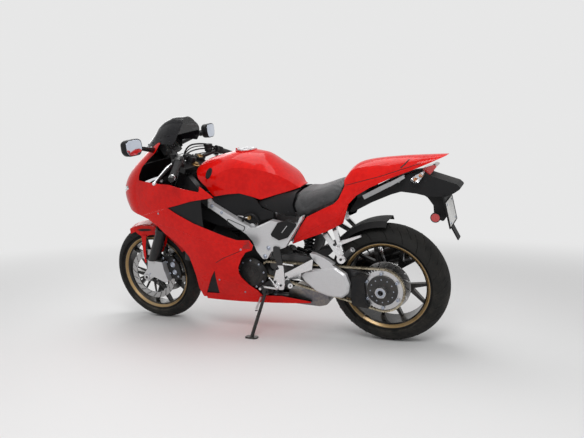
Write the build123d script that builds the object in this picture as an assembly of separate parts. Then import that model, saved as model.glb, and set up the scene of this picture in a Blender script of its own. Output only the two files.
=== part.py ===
from build123d import *

import math
import os

# Everything is built upright: +X forward, +Y to the left, +Z up, with the origin on the ground
# under the rear axle in the centre plane. At the end it is leaned onto its side stand.

# Chassis
WHEELBASE = 1460.0
RAKE = 25.5
TRAIL = 95.0
LEAN = 10.0
RUN_FIT = 0.05
SEAT_GAP = 0.3
SEAM = SEAT_GAP / 2

# Wheels
FRONT_R = 300.0
FRONT_WIDTH = 120.0
FRONT_CROWN = 62.0
REAR_R = 315.0
REAR_WIDTH = 180.0
REAR_CROWN = 95.0
RIM_SEAT_R = 219.0
FLANGE_R = 232.0
BARREL_R = 206.0
FRONT_RIM_HALF = 48.0
REAR_RIM_HALF = 75.0
SPOKES = 5
SPOKE_HALF = 13.0

# Brakes
FRONT_DISC_R = 155.0
FRONT_DISC_Y = 66.0
REAR_DISC_R = 128.0
DISC_THICK = 5.0

# Axles
FRONT_AXLE_R = 12.5
FRONT_AXLE_BORE = 9.0
REAR_AXLE_R = 27.0
REAR_AXLE_BORE = 14.0

# Fork and steering
FORK_SPREAD = 105.0
FORK_TUBE_R = 21.5
SLIDER_R = 33.0
SLIDER_TOP = 330.0
FORK_TOP = 1072.0
LOWER_CLAMP = 830.0
UPPER_CLAMP = 1030.0
CLAMP_THICK = 30.0
STEM_R = 15.0
HEAD_R = 34.0
GRIP_R = 17.0
BAR_R = 11.0
STEER_LOCK = 31.0

# Chain drive
CHAIN_Y = 127.0
CHAIN_PITCH = 15.875
SPROCKET_TEETH = 43
FRONT_TEETH = 16
FRONT_SPROCKET = (630.0, 397.0)
ROLLER_R = 5.0
LINK_HALF = 8.0
PLATE_GAP = 4.0
CHAIN_HALF = 9.0

# Body panels
PANEL = 4.0
NODES = {}


def both(part):
    """A piece and its mirror image across the centre plane, as separate solids."""
    twin = part.mirror(Plane.XZ)
    return Compound([*part.solids(), *twin.solids()])


def gather(*parts):
    """Several pieces that share a node, as separate solids."""
    return Compound([solid for part in parts for solid in part.solids()])


def corner_radius(before, corner, after, wanted):
    """The wanted corner radius, or less where the two sides beside it are short."""
    side_a, side_b = before - corner, after - corner
    if not wanted:
        return 0.0
    half = math.radians(side_a.get_angle(side_b) / 2)
    return min(wanted, 0.45 * min(side_a.length, side_b.length) * math.tan(half))


def face_at(rows, y):
    """A side-view outline at y across the bike; rows are x, z and a corner radius."""
    points = [Vector(row[0], y, row[1]) for row in rows]
    count = len(rows)
    radii = [
        corner_radius(points[k - 1], points[k], points[(k + 1) % count], (*row, 0)[2])
        for k, row in enumerate(rows)
    ]
    return make_face(FilletPolyline(*points, radius=radii, close=True))


def prism(rows, y0, y1):
    """A side-view outline extruded across the bike from y0 to y1."""
    return extrude(face_at(rows, y0), amount=y1 - y0, dir=(0, 1, 0))


def rod(start, end, radius):
    """A round bar between two points."""
    a, b = Vector(*start), Vector(*end)
    return Plane(origin=a, z_dir=(b - a)) * extrude(Circle(radius), amount=(b - a).length)


def cone(start, end, r_start, r_end):
    """A tapered round bar between two points."""
    a, b = Vector(*start), Vector(*end)
    low = Plane(origin=a, z_dir=(b - a))
    high = Plane(origin=b, z_dir=(b - a))
    return loft([low * Circle(r_start), high * Circle(r_end)])


def front_prism(rows, x0, x1):
    """A front-view outline of y, z rows extruded along the bike from x0 to x1."""
    face = make_face(Polyline(*[(x0, y, z) for y, z in rows], close=True))
    return extrude(face, amount=x1 - x0, dir=(1, 0, 0))


def raised(rows, lift):
    """The same line lifted or dropped a little, for the two edges of a seam."""
    return [(row[0], row[1] + lift, *row[2:]) for row in rows]


def slope_at(before, after):
    """The slope at a row between two others, flat where the line turns back."""
    return 2 * before * after / (before + after) if before * after > 0 else 0.0


def eased(rows, pitch):
    """A table filled in at an even pitch along its first column, with no overshoot."""
    xs = [row[0] for row in rows]
    steps = [b - a for a, b in zip(xs, xs[1:])]
    columns = []
    for values in zip(*rows):
        slopes = [(b - a) / h for a, b, h in zip(values, values[1:], steps)]
        inner = [slope_at(a, b) for a, b in zip(slopes, slopes[1:])]
        columns.append((values, [slopes[0], *inner, slopes[-1]]))
    count = round(abs(xs[-1] - xs[0]) / pitch)
    filled = []
    for k in range(count + 1):
        x = xs[0] + (xs[-1] - xs[0]) * k / count
        i = max(j for j, start in enumerate(xs[:-1]) if (x - start) * steps[0] >= 0)
        t = (x - xs[i]) / steps[i]
        filled.append([
            (2 * t**3 - 3 * t**2 + 1) * v[i] + (t**3 - 2 * t**2 + t) * steps[i] * m[i]
            + (3 * t**2 - 2 * t**3) * v[i + 1] + (t**3 - t**2) * steps[i] * m[i + 1]
            for v, m in columns
        ])
    return filled


def drum(x, z, radius, y0, y1):
    """A round disc or boss with its axis across the bike."""
    return rod((x, y0, z), (x, y1, z), radius)


def turned(rows, x, z):
    """A ring turned about an axis across the bike at x, z; rows are y and radius."""
    profile = make_face(Polyline(*[(r, y, 0) for y, r in rows], close=True))
    ring = revolve(profile, axis=Axis.Y)
    return Pos(x, 0, z) * ring


def beam(a, b, width_a, width_b, depth_a, depth_b):
    """A tapered box beam between two points: width across the bike, depth in the side view."""
    start, end = Vector(*a), Vector(*b)
    along = (end - start).normalized()
    side = Vector(0, 1, 0)
    side = (side - along * side.dot(along)).normalized()
    low = Plane(origin=start, x_dir=side, z_dir=along)
    high = Plane(origin=end, x_dir=side, z_dir=along)
    return loft([low * Rectangle(width_a, depth_a), high * Rectangle(width_b, depth_b)])


# Steering frame: x forward and square to the steering axis, z up along it
STEER_SIN = math.sin(math.radians(RAKE))
STEER_COS = math.cos(math.radians(RAKE))
STEER = Plane(
    origin=(WHEELBASE + TRAIL, 0, 0),
    x_dir=(STEER_COS, 0, STEER_SIN),
    z_dir=(-STEER_SIN, 0, STEER_COS),
)
FORK_OFFSET = FRONT_R * STEER_SIN - TRAIL * STEER_COS
AXLE_S = FRONT_R * STEER_COS + TRAIL * STEER_SIN


def on_fork(part):
    """Moves a piece from the steering frame to the bike."""
    return STEER.location * part


# Tyres and rims
def tyre(radius, width, crown, rim_half, x):
    """A hollow tyre: round tread, side walls and beads on the rim seat."""
    shoulder = width / 2
    bead = rim_half - 6.0
    shoulder_r = radius - crown + math.sqrt(crown**2 - (shoulder - 1) ** 2) - 1
    wall = 9.0
    bead_r = RIM_SEAT_R + SEAT_GAP
    outer = [
        Line((bead_r, -bead), (FLANGE_R + 2, -bead)),
        ThreePointArc((FLANGE_R + 2, -bead), (FLANGE_R + 18, -shoulder + 3), (shoulder_r, -shoulder)),
        ThreePointArc((shoulder_r, -shoulder), (radius, 0), (shoulder_r, shoulder)),
        ThreePointArc((shoulder_r, shoulder), (FLANGE_R + 18, shoulder - 3), (FLANGE_R + 2, bead)),
        Line((FLANGE_R + 2, bead), (bead_r, bead)),
        Line((bead_r, bead), (bead_r, bead - wall)),
        Line((bead_r, bead - wall), (FLANGE_R + 8, bead - wall + 2)),
        Line((FLANGE_R + 8, bead - wall + 2), (shoulder_r - 4, shoulder - wall)),
        ThreePointArc(
            (shoulder_r - 4, shoulder - wall), (radius - wall, 0), (shoulder_r - 4, wall - shoulder)
        ),
        Line((shoulder_r - 4, wall - shoulder), (FLANGE_R + 8, wall - bead - 2)),
        Line((FLANGE_R + 8, wall - bead - 2), (bead_r, wall - bead)),
        Line((bead_r, wall - bead), (bead_r, -bead)),
    ]
    profile = make_face(Wire(outer))
    return Pos(x, 0, radius) * revolve(profile, axis=Axis.Y)


def rim_barrel(half):
    """The rim's barrel with its two flanges, as rows of y and radius."""
    return [
        (-half, FLANGE_R),
        (-half + 5, FLANGE_R),
        (-half + 6, RIM_SEAT_R),
        (half - 6, RIM_SEAT_R),
        (half - 5, FLANGE_R),
        (half, FLANGE_R),
        (half, FLANGE_R - 8),
        (half - 16, BARREL_R),
        (-half + 16, BARREL_R),
        (-half, FLANGE_R - 8),
    ]


def spoke(hub_r, fork_r, half, y_mid):
    """One Y-shaped spoke along +X: a stem that parts into two arms that reach the barrel."""
    stem = 14.0
    arm = 8.0
    split = math.radians(15.0)
    reach = BARREL_R + 3
    tip_x, tip_z = reach * math.cos(split), reach * math.sin(split)
    crotch = fork_r + 28
    rows = [
        (hub_r, -stem - 4),
        (fork_r, -stem),
        (tip_x + arm * math.sin(split), -tip_z - arm),
        (tip_x - arm * math.sin(split), -tip_z + arm),
        (crotch, 0, 6),
        (tip_x - arm * math.sin(split), tip_z - arm),
        (tip_x + arm * math.sin(split), tip_z + arm),
        (fork_r, stem),
        (hub_r, stem + 4),
    ]
    return prism(rows, y_mid - half, y_mid + half)


def wheel(x, z, half, hub_rows, hub_r, bore_r, y_mid):
    """A cast wheel: barrel, hub and a ring of Y-shaped spokes."""
    part = turned(rim_barrel(half), 0, 0) + turned(hub_rows, 0, 0)
    for k in range(SPOKES):
        arm = spoke(hub_r - 4, 95.0, SPOKE_HALF, y_mid)
        part = part + Rot(0, k * 360.0 / SPOKES + 18, 0) * arm
    part = part - rod((0, -400, 0), (0, 400, 0), bore_r)
    return Pos(x, 0, z) * part


FRONT_HUB = 52.0
NODES["front_tyre"] = tyre(FRONT_R, FRONT_WIDTH, FRONT_CROWN, FRONT_RIM_HALF, WHEELBASE)
front_hub_rows = [
    (-FRONT_HUB, 20), (-FRONT_HUB, 40), (-20, 32), (20, 32), (FRONT_HUB, 40), (FRONT_HUB, 20),
    (FRONT_HUB, 10), (-FRONT_HUB, 10),
]
NODES["front_rim"] = wheel(
    WHEELBASE, FRONT_R, FRONT_RIM_HALF, front_hub_rows, 34.0, FRONT_AXLE_R + RUN_FIT, 0.0
)
NODES["rear_tyre"] = tyre(REAR_R, REAR_WIDTH, REAR_CROWN, REAR_RIM_HALF, 0)
REAR_HUB_FACE = 56.0
rear_hub_rows = [
    (-78, 20), (-78, 62), (-50, 76), (10, 66), (REAR_HUB_FACE, 66), (REAR_HUB_FACE, 20),
    (REAR_HUB_FACE, 10), (-78, 10),
]
NODES["rear_rim"] = wheel(
    0, REAR_R, REAR_RIM_HALF, rear_hub_rows, 66.0, REAR_AXLE_R + SEAT_GAP, -34.0
)


# Brake discs: a braking ring and a carrier with arms
def disc(radius, ring, carrier_r, bore, y, x, z, arms=5, thick=DISC_THICK):
    """A brake disc: outer ring, arms and an inner mounting ring."""
    part = drum(0, 0, radius, y, y + thick) - drum(0, 0, radius - ring, y - 1, y + thick + 1)
    part += drum(0, 0, carrier_r, y, y + thick) - drum(0, 0, bore, y - 1, y + thick + 1)
    for k in range(arms):
        arm = prism(
            [
                (carrier_r - 6, -14), (radius - ring + 3, -7),
                (radius - ring + 3, 7), (carrier_r - 6, 14),
            ],
            y, y + thick,
        )
        part += Rot(0, k * 360.0 / arms, 0) * arm
    return Pos(x, 0, z) * part


left_disc = disc(FRONT_DISC_R, 34, 52, 34, FRONT_DISC_Y - DISC_THICK / 2, WHEELBASE, FRONT_R, 8)
hub_spacer = drum(WHEELBASE, FRONT_R, 44, FRONT_HUB + SEAT_GAP, FRONT_DISC_Y - DISC_THICK / 2)
hub_spacer -= drum(WHEELBASE, FRONT_R, 34, FRONT_HUB - 5, FRONT_DISC_Y + 5)
NODES["front_discs"] = both(left_disc + hub_spacer)
rear_disc_y = REAR_HUB_FACE + SEAT_GAP
NODES["rear_disc"] = disc(REAR_DISC_R, 34, 62, 40, rear_disc_y, 0, REAR_R, 6)

# Rear axle, sprocket and nut turn with the rear wheel
REAR_AXLE_LEFT = 171.0
REAR_AXLE_RIGHT = -92.0
SPROCKET_PITCH_R = CHAIN_PITCH / 2 / math.sin(math.pi / SPROCKET_TEETH)
FRONT_PITCH_R = CHAIN_PITCH / 2 / math.sin(math.pi / FRONT_TEETH)
axle = rod((0, REAR_AXLE_RIGHT, REAR_R), (0, REAR_AXLE_LEFT, REAR_R), REAR_AXLE_R)
axle += drum(0, REAR_R, 40, REAR_AXLE_RIGHT, -78 - SEAT_GAP)
nut = Pos(0, REAR_AXLE_LEFT, REAR_R) * Rot(90, 0, 0) * extrude(RegularPolygon(29, 6), amount=24)
axle += nut
axle -= rod((0, -200, REAR_R), (0, 200, REAR_R), REAR_AXLE_BORE)
NODES["rear_axle"] = axle
ring_r = SPROCKET_PITCH_R - ROLLER_R - 0.3
tooth_half = PLATE_GAP - 0.5
sprocket = drum(0, REAR_R, ring_r, CHAIN_Y - tooth_half, CHAIN_Y + tooth_half)
sprocket += drum(0, REAR_R, 78, CHAIN_Y - tooth_half, CHAIN_Y + 14)
sprocket -= drum(0, REAR_R, REAR_AXLE_R + SEAT_GAP, 100, 160)
for k in range(6):
    angle = math.radians(60 * k + 30)
    bolt_r = 90.0
    sprocket += drum(
        bolt_r * math.cos(angle), REAR_R + bolt_r * math.sin(angle), 7,
        CHAIN_Y + tooth_half - 1, CHAIN_Y + tooth_half + 7,
    )
NODES["rear_sprocket"] = sprocket


# Chain: one closed loop with side plates and rollers between them
def loop_band(r_rear, r_front, y0, y1):
    """A band shaped like a belt round both sprockets."""
    fx, fz = FRONT_SPROCKET
    dx, dz = fx, fz - REAR_R
    dist = math.hypot(dx, dz)
    lean = math.atan2(dz, dx)
    tilt = math.acos((r_rear - r_front) / dist)
    up, down = lean + tilt, lean - tilt
    mid_r, mid_f = lean + math.pi, lean

    def at(cx, cz, r, a):
        return (cx + r * math.cos(a), y0, cz + r * math.sin(a))

    wire = Wire([
        ThreePointArc(
            at(0, REAR_R, r_rear, up), at(0, REAR_R, r_rear, mid_r), at(0, REAR_R, r_rear, down)
        ),
        Line(at(0, REAR_R, r_rear, down), at(fx, fz, r_front, down)),
        ThreePointArc(
            at(fx, fz, r_front, down), at(fx, fz, r_front, mid_f), at(fx, fz, r_front, up)
        ),
        Line(at(fx, fz, r_front, up), at(0, REAR_R, r_rear, up)),
    ])
    return extrude(make_face(wire), amount=y1 - y0, dir=(0, 1, 0))


def loop(inner, outer, y0, y1):
    """A hollow loop between two offsets from the pitch line."""
    whole = loop_band(SPROCKET_PITCH_R + outer, FRONT_PITCH_R + outer, y0, y1)
    core = loop_band(SPROCKET_PITCH_R + inner, FRONT_PITCH_R + inner, y0 - 1, y1 + 1)
    return whole - core


chain = loop(-ROLLER_R, ROLLER_R, CHAIN_Y - PLATE_GAP, CHAIN_Y + PLATE_GAP)
chain += loop(-LINK_HALF, LINK_HALF, CHAIN_Y - CHAIN_HALF, CHAIN_Y - PLATE_GAP)
chain += loop(-LINK_HALF, LINK_HALF, CHAIN_Y + PLATE_GAP, CHAIN_Y + CHAIN_HALF)
NODES["drive_chain"] = chain

# Swingarm on the left side only, outside and inside the chain
PIVOT = (592.0, 430.0)
ARM_IN, ARM_OUT = 95.0, 114.0
SHELL_IN, SHELL_OUT = 140.0, 172.0
HUB_R = 64.0
inner_arm = prism(
    [
        (30, 372, 20), (120, 402, 30), (300, 452, 20), (470, 482), (PIVOT[0] + 30, 470, 20),
        (PIVOT[0] + 34, 395, 20), (470, 345, 30), (300, 275, 30), (120, 240, 30), (30, 255, 20),
    ],
    ARM_IN, ARM_OUT,
)
inner_arm += drum(0, REAR_R, HUB_R, ARM_IN - 14, ARM_OUT)
bridge = prism(
    [(236, 450), (290, 484, 10), (329, 500, 10), (368, 507, 4), (352, 474, 6), (330, 452)],
    ARM_OUT - 4, SHELL_OUT - 8,
)
branch = prism(
    [
        (231, 436), (280, 472, 20), (329, 497, 10), (368, 507, 4), (350, 474, 6),
        (318, 440, 10), (290, 404),
    ],
    SHELL_IN, SHELL_OUT - 8,
)
shell = prism(
    [
        (160, 345, 30), (168, 300, 30), (205, 272, 25), (280, 276, 30), (345, 298, 30),
        (407, 350, 20), (430, 385, 10), (400, 412, 14), (330, 420, 10), (231, 438, 30),
        (178, 400, 25),
    ],
    SHELL_IN, SHELL_OUT,
)
shell = chamfer(shell.faces().sort_by(Axis.Y)[-1].edges(), 9)
PIVOT_R = 34.0
LUG_SIDE = 60.0
cross = drum(*PIVOT, PIVOT_R, LUG_SIDE + SEAT_GAP, ARM_IN + 2)
cross += drum(*PIVOT, PIVOT_R, -110, -LUG_SIDE - SEAT_GAP)
cross += drum(*PIVOT, PIVOT_R - 18, -LUG_SIDE - 2, LUG_SIDE + 2)
arm = inner_arm + bridge + branch + shell + cross
arm -= drum(0, REAR_R, REAR_AXLE_R + RUN_FIT, 60, 130)
NODES["swingarm"] = arm

cover = prism(
    [
        (158, 232, 20), (60, 222, 8), (84, 262), (84, 360), (62, 392, 8), (100, 398, 8),
        (152, 384, 10), (150, 345), (158, 300),
    ],
    CHAIN_Y + CHAIN_HALF + 1.5, SHELL_OUT - 12,
)
NODES["chain_cover"] = cover

# Rear brake caliper hangs behind the hub inside the wheel
caliper = prism(
    [(78, 220, 8), (96, 300, 20), (142, 296, 14), (150, 252, 20), (122, 200, 12)],
    rear_disc_y + DISC_THICK + 1.0, ARM_IN - SEAT_GAP,
)
NODES["rear_caliper"] = caliper

# Rear fender that hugs the tyre
HUGGER_R = REAR_R + 24.0
hugger_rows = [(-84, HUGGER_R - 22), (-62, HUGGER_R + 3), (62, HUGGER_R + 3), (84, HUGGER_R - 22)]
outer = [(y, r) for y, r in hugger_rows]
inner = [(y, r - 3) for y, r in reversed(hugger_rows)]
profile = make_face(Polyline(*[(r, y, 0) for y, r in outer + inner], close=True))
hugger = Rot(0, -38, 0) * revolve(profile, axis=Axis.Y, revolution_arc=-56)
hugger = Pos(0, 0, REAR_R) * hugger
hugger_foot = prism([(244, 520), (256, 534), (334, 510), (324, 486), (286, 478)], 50, 140)
NODES["hugger"] = hugger + (hugger_foot - arm)

# Engine: one block with round crank covers
ENGINE_HALF = 112.0
engine = prism(
    [
        (1010, 430, 30), (1000, 560, 20), (930, 640, 20), (850, 600), (800, 560), (770, 690, 20),
        (690, 700, 20), (660, 560), (646, 520, 10), (640, 330, 20), (670, 235, 20), (960, 235, 30),
    ],
    -ENGINE_HALF, ENGINE_HALF,
)
pivot_lug = prism(
    [(665, 520), (600, 478, 20), (560, 440, 20), (566, 396, 20), (610, 380), (665, 340)],
    -LUG_SIDE, LUG_SIDE,
)
engine += pivot_lug
engine -= drum(*PIVOT, PIVOT_R - 18 + SEAT_GAP, -200, 200)
NODES["engine_block"] = engine
COVER = (724.0, 372.0)
COVER_R = 86.0
COVER_NECK_R = 46.0
COVER_FACE = 162.0
cover_in = CHAIN_Y + CHAIN_HALF + 3
cover = drum(*COVER, COVER_R, cover_in, COVER_FACE)
cover = chamfer(cover.faces().sort_by(Axis.Y)[-1].edges(), 18)
cover += drum(COVER[0] + 52, COVER[1], COVER_NECK_R, ENGINE_HALF + SEAT_GAP, cover_in + 1)
NODES["engine_covers"] = both(cover)

radiator = Pos(1088, 0, 560) * Rot(0, -14, 0) * Box(30, 330, 260)
for lug_y in (-82, 82):
    lug = Box(98, 16, 24, align=(Align.MIN, Align.CENTER, Align.CENTER))
    radiator += Pos(1000, lug_y, 500) * lug
NODES["radiator"] = radiator - engine

# Exhaust: header pipes down the front, a chamber behind the sump and the right-hand muffler
PIPE_R = 16.0
run = FilletPolyline((996, 45, 520), (1044, 45, 520), (1044, 45, 215), (540, 45, 215), radius=30)
pipe = sweep(Plane(origin=run @ 0, z_dir=run % 0) * Circle(PIPE_R), path=run)
pipes = both(pipe)
CHAMBER = (318.0, 556.0)
CHAMBER_HALF = 64.0
chamber = prism(
    [
        (CHAMBER[0], 186, 30), (CHAMBER[0] + 6, 262, 30), (CHAMBER[1], 262, 30),
        (CHAMBER[1], 180, 30), (CHAMBER[0] + 60, 172, 30),
    ],
    -CHAMBER_HALF, CHAMBER_HALF,
)
NODES["exhaust_pipes"] = (pipes - engine) + chamber
link_start = -CHAMBER_HALF - SEAT_GAP
link = FilletPolyline((360, link_start, 226), (360, -112, 226), (306, -176, 298), radius=24)
link_pipe = sweep(Plane(origin=link @ 0, z_dir=link % 0) * Circle(22), path=link)
muffler_a, muffler_b = Vector(300, -180, 300), Vector(-110, -205, 452)
body_low = Plane(origin=muffler_a, z_dir=muffler_b - muffler_a)
body_high = Plane(origin=muffler_b, z_dir=muffler_b - muffler_a)
muffler = loft([body_low * Circle(52), body_high * Circle(66)])
NODES["muffler"] = muffler + link_pipe

# Frame: a head, two spars and two pivot plates
head = on_fork(
    extrude(Pos(0, 0, LOWER_CLAMP + CLAMP_THICK + 4) * Circle(HEAD_R),
            amount=UPPER_CLAMP - LOWER_CLAMP - CLAMP_THICK - 8)
)
head -= on_fork(extrude(Pos(0, 0, 800) * Circle(STEM_R + RUN_FIT), amount=300))
NODES["steering_head"] = head
SPAR_OUT, SPAR_IN = 185.0, 150.0
spar = prism(
    [
        (869, 712), (932, 752, 5), (926, 772, 6), (913, 772, 4), (810, 712), (737, 671),
        (679, 641, 6), (656, 643, 6), (562, 682, 6), (518, 672), (412, 664), (392, 704, 6),
        (376, 708, 5), (384, 687), (421, 638), (462, 580), (490, 540, 4), (544, 520),
        (574, 514, 10), (603, 471, 12), (628, 470, 12), (662, 515, 10), (680, 567, 20),
        (714, 605, 20), (779, 646),
    ],
    SPAR_IN, SPAR_OUT,
)
shoulder = beam((918, 168, 758), (1140, 46, 872), 30, 38, 34, 84)
shoulder -= on_fork(extrude(Pos(0, 0, LOWER_CLAMP) * Circle(HEAD_R + SEAM), amount=260))
mount = drum(690, 640, 16, ENGINE_HALF + SEAM, SPAR_IN + 1)
mount += drum(640, 520, 14, ENGINE_HALF - 60, SPAR_IN + 1)
left_frame = spar + shoulder + (mount - engine)
NODES["frame_left"] = left_frame
NODES["frame_right"] = left_frame.mirror(Plane.XZ)

# Front axle and fork
FRONT_AXLE_HALF = 132.0
front_axle = drum(WHEELBASE, FRONT_R, FRONT_AXLE_R, -FRONT_AXLE_HALF, FRONT_AXLE_HALF)
front_axle -= drum(WHEELBASE, FRONT_R, FRONT_AXLE_BORE, -200, 200)
NODES["front_axle"] = front_axle


def cylinder_s(y, s0, s1, radius, u=FORK_OFFSET):
    """A cylinder along the fork, from s0 to s1 up the steering axis."""
    return Pos(u, y, s0) * extrude(Circle(radius), amount=s1 - s0)


slider_top_s = AXLE_S + SLIDER_TOP
tube = cylinder_s(FORK_SPREAD, slider_top_s, FORK_TOP, FORK_TUBE_R)
slider = cylinder_s(FORK_SPREAD, AXLE_S + 110, slider_top_s, SLIDER_R)
slider += cylinder_s(FORK_SPREAD, slider_top_s - 26, slider_top_s, SLIDER_R + 4)
foot = prism(
    [
        (1438, 412), (1452, 352, 20), (1486, 314, 14), (1486, 290, 14), (1458, 268, 14),
        (1440, 286), (1412, 302, 10), (1332, 270, 8), (1310, 276, 8), (1332, 350, 20),
        (1340, 408),
    ],
    FORK_SPREAD - 17, FORK_SPREAD + 22,
)
leg = on_fork(tube + slider) + foot
leg -= drum(WHEELBASE, FRONT_R, FRONT_AXLE_R + SEAT_GAP, 60, 160)
NODES["fork_legs"] = both(leg)


def clamp(s, fork_r, back):
    """A fork yoke across both legs and the stem."""
    plate = Pos(FORK_OFFSET / 2, 0, s) * extrude(
        Rectangle(FORK_OFFSET + back, 2 * FORK_SPREAD + 40) , amount=CLAMP_THICK
    )
    for y in (-FORK_SPREAD, FORK_SPREAD):
        plate += cylinder_s(y, s, s + CLAMP_THICK, fork_r + 12)
        plate -= cylinder_s(y, s - 1, s + CLAMP_THICK + 1, fork_r + SEAT_GAP)
    return plate


lower = clamp(LOWER_CLAMP, FORK_TUBE_R, 30)
stem = Pos(0, 0, LOWER_CLAMP + 4) * extrude(Circle(STEM_R), amount=UPPER_CLAMP - LOWER_CLAMP)
upper = clamp(UPPER_CLAMP, FORK_TUBE_R, 30)
NODES["triple_clamps"] = on_fork(lower + stem + upper)

# Handlebars: clip-ons with grips, levers, switch boxes and reservoirs
BAR_ROOT = (1124.0, 126.0, 987.0)
GRIP_IN = (1062.0, 208.0, 1010.0)
GRIP_END = (1018.0, 344.0, 952.0)


def along_bar(share):
    """A point on the bar between the grip's inner and outer ends."""
    return tuple(a + (b - a) * share for a, b in zip(GRIP_IN, GRIP_END))


ring = cylinder_s(FORK_SPREAD, UPPER_CLAMP + CLAMP_THICK + SEAT_GAP, FORK_TOP + 6, FORK_TUBE_R + 12)
ring -= cylinder_s(FORK_SPREAD, UPPER_CLAMP, FORK_TOP + 20, FORK_TUBE_R + SEAT_GAP)
ring = on_fork(ring)
bar = ring + rod(BAR_ROOT, GRIP_IN, BAR_R)
bar -= on_fork(cylinder_s(FORK_SPREAD, UPPER_CLAMP, FORK_TOP + 20, FORK_TUBE_R + SEAT_GAP))
bar += rod(GRIP_IN, along_bar(1.06), BAR_R)


grip = rod(along_bar(0.14), along_bar(1.04), GRIP_R)
grip -= rod(along_bar(0.0), along_bar(1.05), BAR_R + SEAT_GAP)
NODES["grips"] = both(grip)
LEVER_ROOT = (1098.0, 218.0, 996.0)
LEVER_TIP = (1140.0, 345.0, 915.0)
perch = rod(along_bar(-0.16), along_bar(0.13), GRIP_R + 5)
blade = cone(LEVER_ROOT, LEVER_TIP, 9, 6)
ball = Pos(*LEVER_TIP) * Sphere(10)
bracket = beam(along_bar(-0.03), LEVER_ROOT, 26, 20, 16, 14)
weight = rod(along_bar(1.05), along_bar(1.22), GRIP_R - 2)
NODES["handlebars"] = both(bar + perch + bracket + blade + ball + weight)

# Front fender over the tyre with a stay to each fork leg
FENDER_R = FRONT_R + 16.0
SIDE_IN = 69.0
rows = [(-72, FENDER_R - 34), (-58, FENDER_R - 6), (0, FENDER_R + 8), (58, FENDER_R - 6), (72, FENDER_R - 34)]
outer_arc = [(r, y, 0) for y, r in rows]
inner_arc = [(r - 3.5, y, 0) for y, r in reversed(rows)]
profile = make_face(Polyline(*outer_arc, *inner_arc, close=True))
fender = Rot(0, -64, 0) * revolve(profile, axis=Axis.Y, revolution_arc=-84)
fender = Pos(WHEELBASE, 0, FRONT_R) * fender
side_plate = prism(
    [
        (1556, 574, 6), (1530, 598), (1480, 606), (1400, 604), (1312, 556, 10), (1326, 500),
        (1366, 440, 8), (1382, 448, 8), (1356, 512, 10), (1378, 552, 10), (1440, 548, 20),
        (1484, 530, 10), (1530, 552, 10),
    ],
    SIDE_IN, FORK_SPREAD - SLIDER_R - SEAT_GAP,
)
side_plate += prism([(1500, 546, 8), (1462, 546, 8), (1482, 470, 30), (1492, 372, 8),
                     (1504, 372, 8), (1504, 460, 30)], SIDE_IN + 5, SIDE_IN + 9)
side_plate += prism([(1500, 546), (1464, 546), (1468, 528), (1498, 528)], SIDE_IN, SIDE_IN + 9)
NODES["front_fender"] = fender + Compound(list(both(side_plate).solids()))

# Front calipers behind the fork legs
front_caliper = prism(
    [
        (1366, 372, 10), (1350, 436, 14), (1290, 425, 20), (1252, 375, 20), (1240, 323, 14),
        (1252, 280, 12), (1318, 284, 10), (1340, 330, 10),
    ],
    FRONT_DISC_Y + DISC_THICK / 2 + 1, FORK_SPREAD - 17 - SEAT_GAP,
)
front_caliper -= on_fork(cylinder_s(FORK_SPREAD, AXLE_S, slider_top_s, SLIDER_R + 1))
NODES["front_calipers"] = both(front_caliper)

# Fuel tank: sections across the bike, trimmed to the side outline
# Columns: x, floor z, floor half width, belly z, belly half width, edge z, edge half width, top z
TANK = [
    (432, 780, 50, 806, 64, 832, 56, 837),
    (470, 775, 76, 815, 92, 862, 82, 870),
    (500, 770, 96, 822, 110, 890, 104, 903),
    (567, 770, 124, 840, 130, 924, 130, 963),
    (653, 770, 142, 855, 142, 947, 146, 1019),
    (760, 770, 152, 862, 156, 957, 156, 1035),
    (900, 770, 152, 850, 172, 912, 164, 1013),
    (1000, 770, 138, 830, 160, 880, 150, 988),
    (1055, 770, 122, 820, 144, 862, 132, 956),
]
TABLE_PITCH = 30.0


def barrel(row, inset=0.0):
    """A closed section at x: flat floor, two bowed sides and a crowned top.

    An inset section is the inside of a wall, and runs out through the open floor.
    """
    x, z0, w0, zm, wm, ze, we, zt = row
    w0, wm, we = w0 - inset, wm - inset, we - inset
    z0, ze, zt = z0 - inset, ze - inset, zt - inset
    return Wire([
        Line((x, -w0, z0), (x, w0, z0)),
        ThreePointArc((x, w0, z0), (x, wm, zm), (x, we, ze)),
        ThreePointArc((x, we, ze), (x, 0, zt), (x, -we, ze)),
        ThreePointArc((x, -we, ze), (x, -wm, zm), (x, -w0, z0)),
    ])


def body(rows, inset=0.0):
    """A smooth body through its sections; an inset one runs out past both ends."""
    sections = eased(rows, TABLE_PITCH)
    sections[0][0] += inset if rows[0][0] > rows[-1][0] else -inset
    sections[-1][0] -= inset if rows[0][0] > rows[-1][0] else -inset
    return Solid.make_loft([barrel(row, inset) for row in sections])


tank_hull = body(TANK)
TANK_LOW = [
    (432, 832), (454, 826, 10), (543, 806), (632, 783, 30), (678, 800), (745, 820, 30),
    (816, 817, 30), (898, 806, 20), (937, 861), (1000, 902, 6),
]
tank_cut = prism([*TANK_LOW, (1052, 962, 10), (1052, 1100), (380, 1100), (380, 842)], -260, 260)
tank = tank_hull & tank_cut
# Filler ring and its lid, hinged at the front on a pin between two ears
CAP_X = 760.0
CAP_R = 48.0
CAP_TOP = 1038.0
CAP_DEEP = 16.0
CAP_GAP = 0.8
RING_R = 60.0
LUG_HALF = 8.0
LUG_R = 4.5
CAP_PIN_R = 2.0
CAP_HINGE = (CAP_X + CAP_R + 6.5, 0.0, CAP_TOP + 1.0)


def lid_disc(radius, low, high):
    """An upright disc on the filler's axis."""
    return Pos(CAP_X, 0, low) * extrude(Circle(radius), amount=high - low)


def hinge_rod(radius, y0, y1):
    """A round piece on the lid's hinge line."""
    return drum(CAP_HINGE[0], CAP_HINGE[2], radius, y0, y1)


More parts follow.
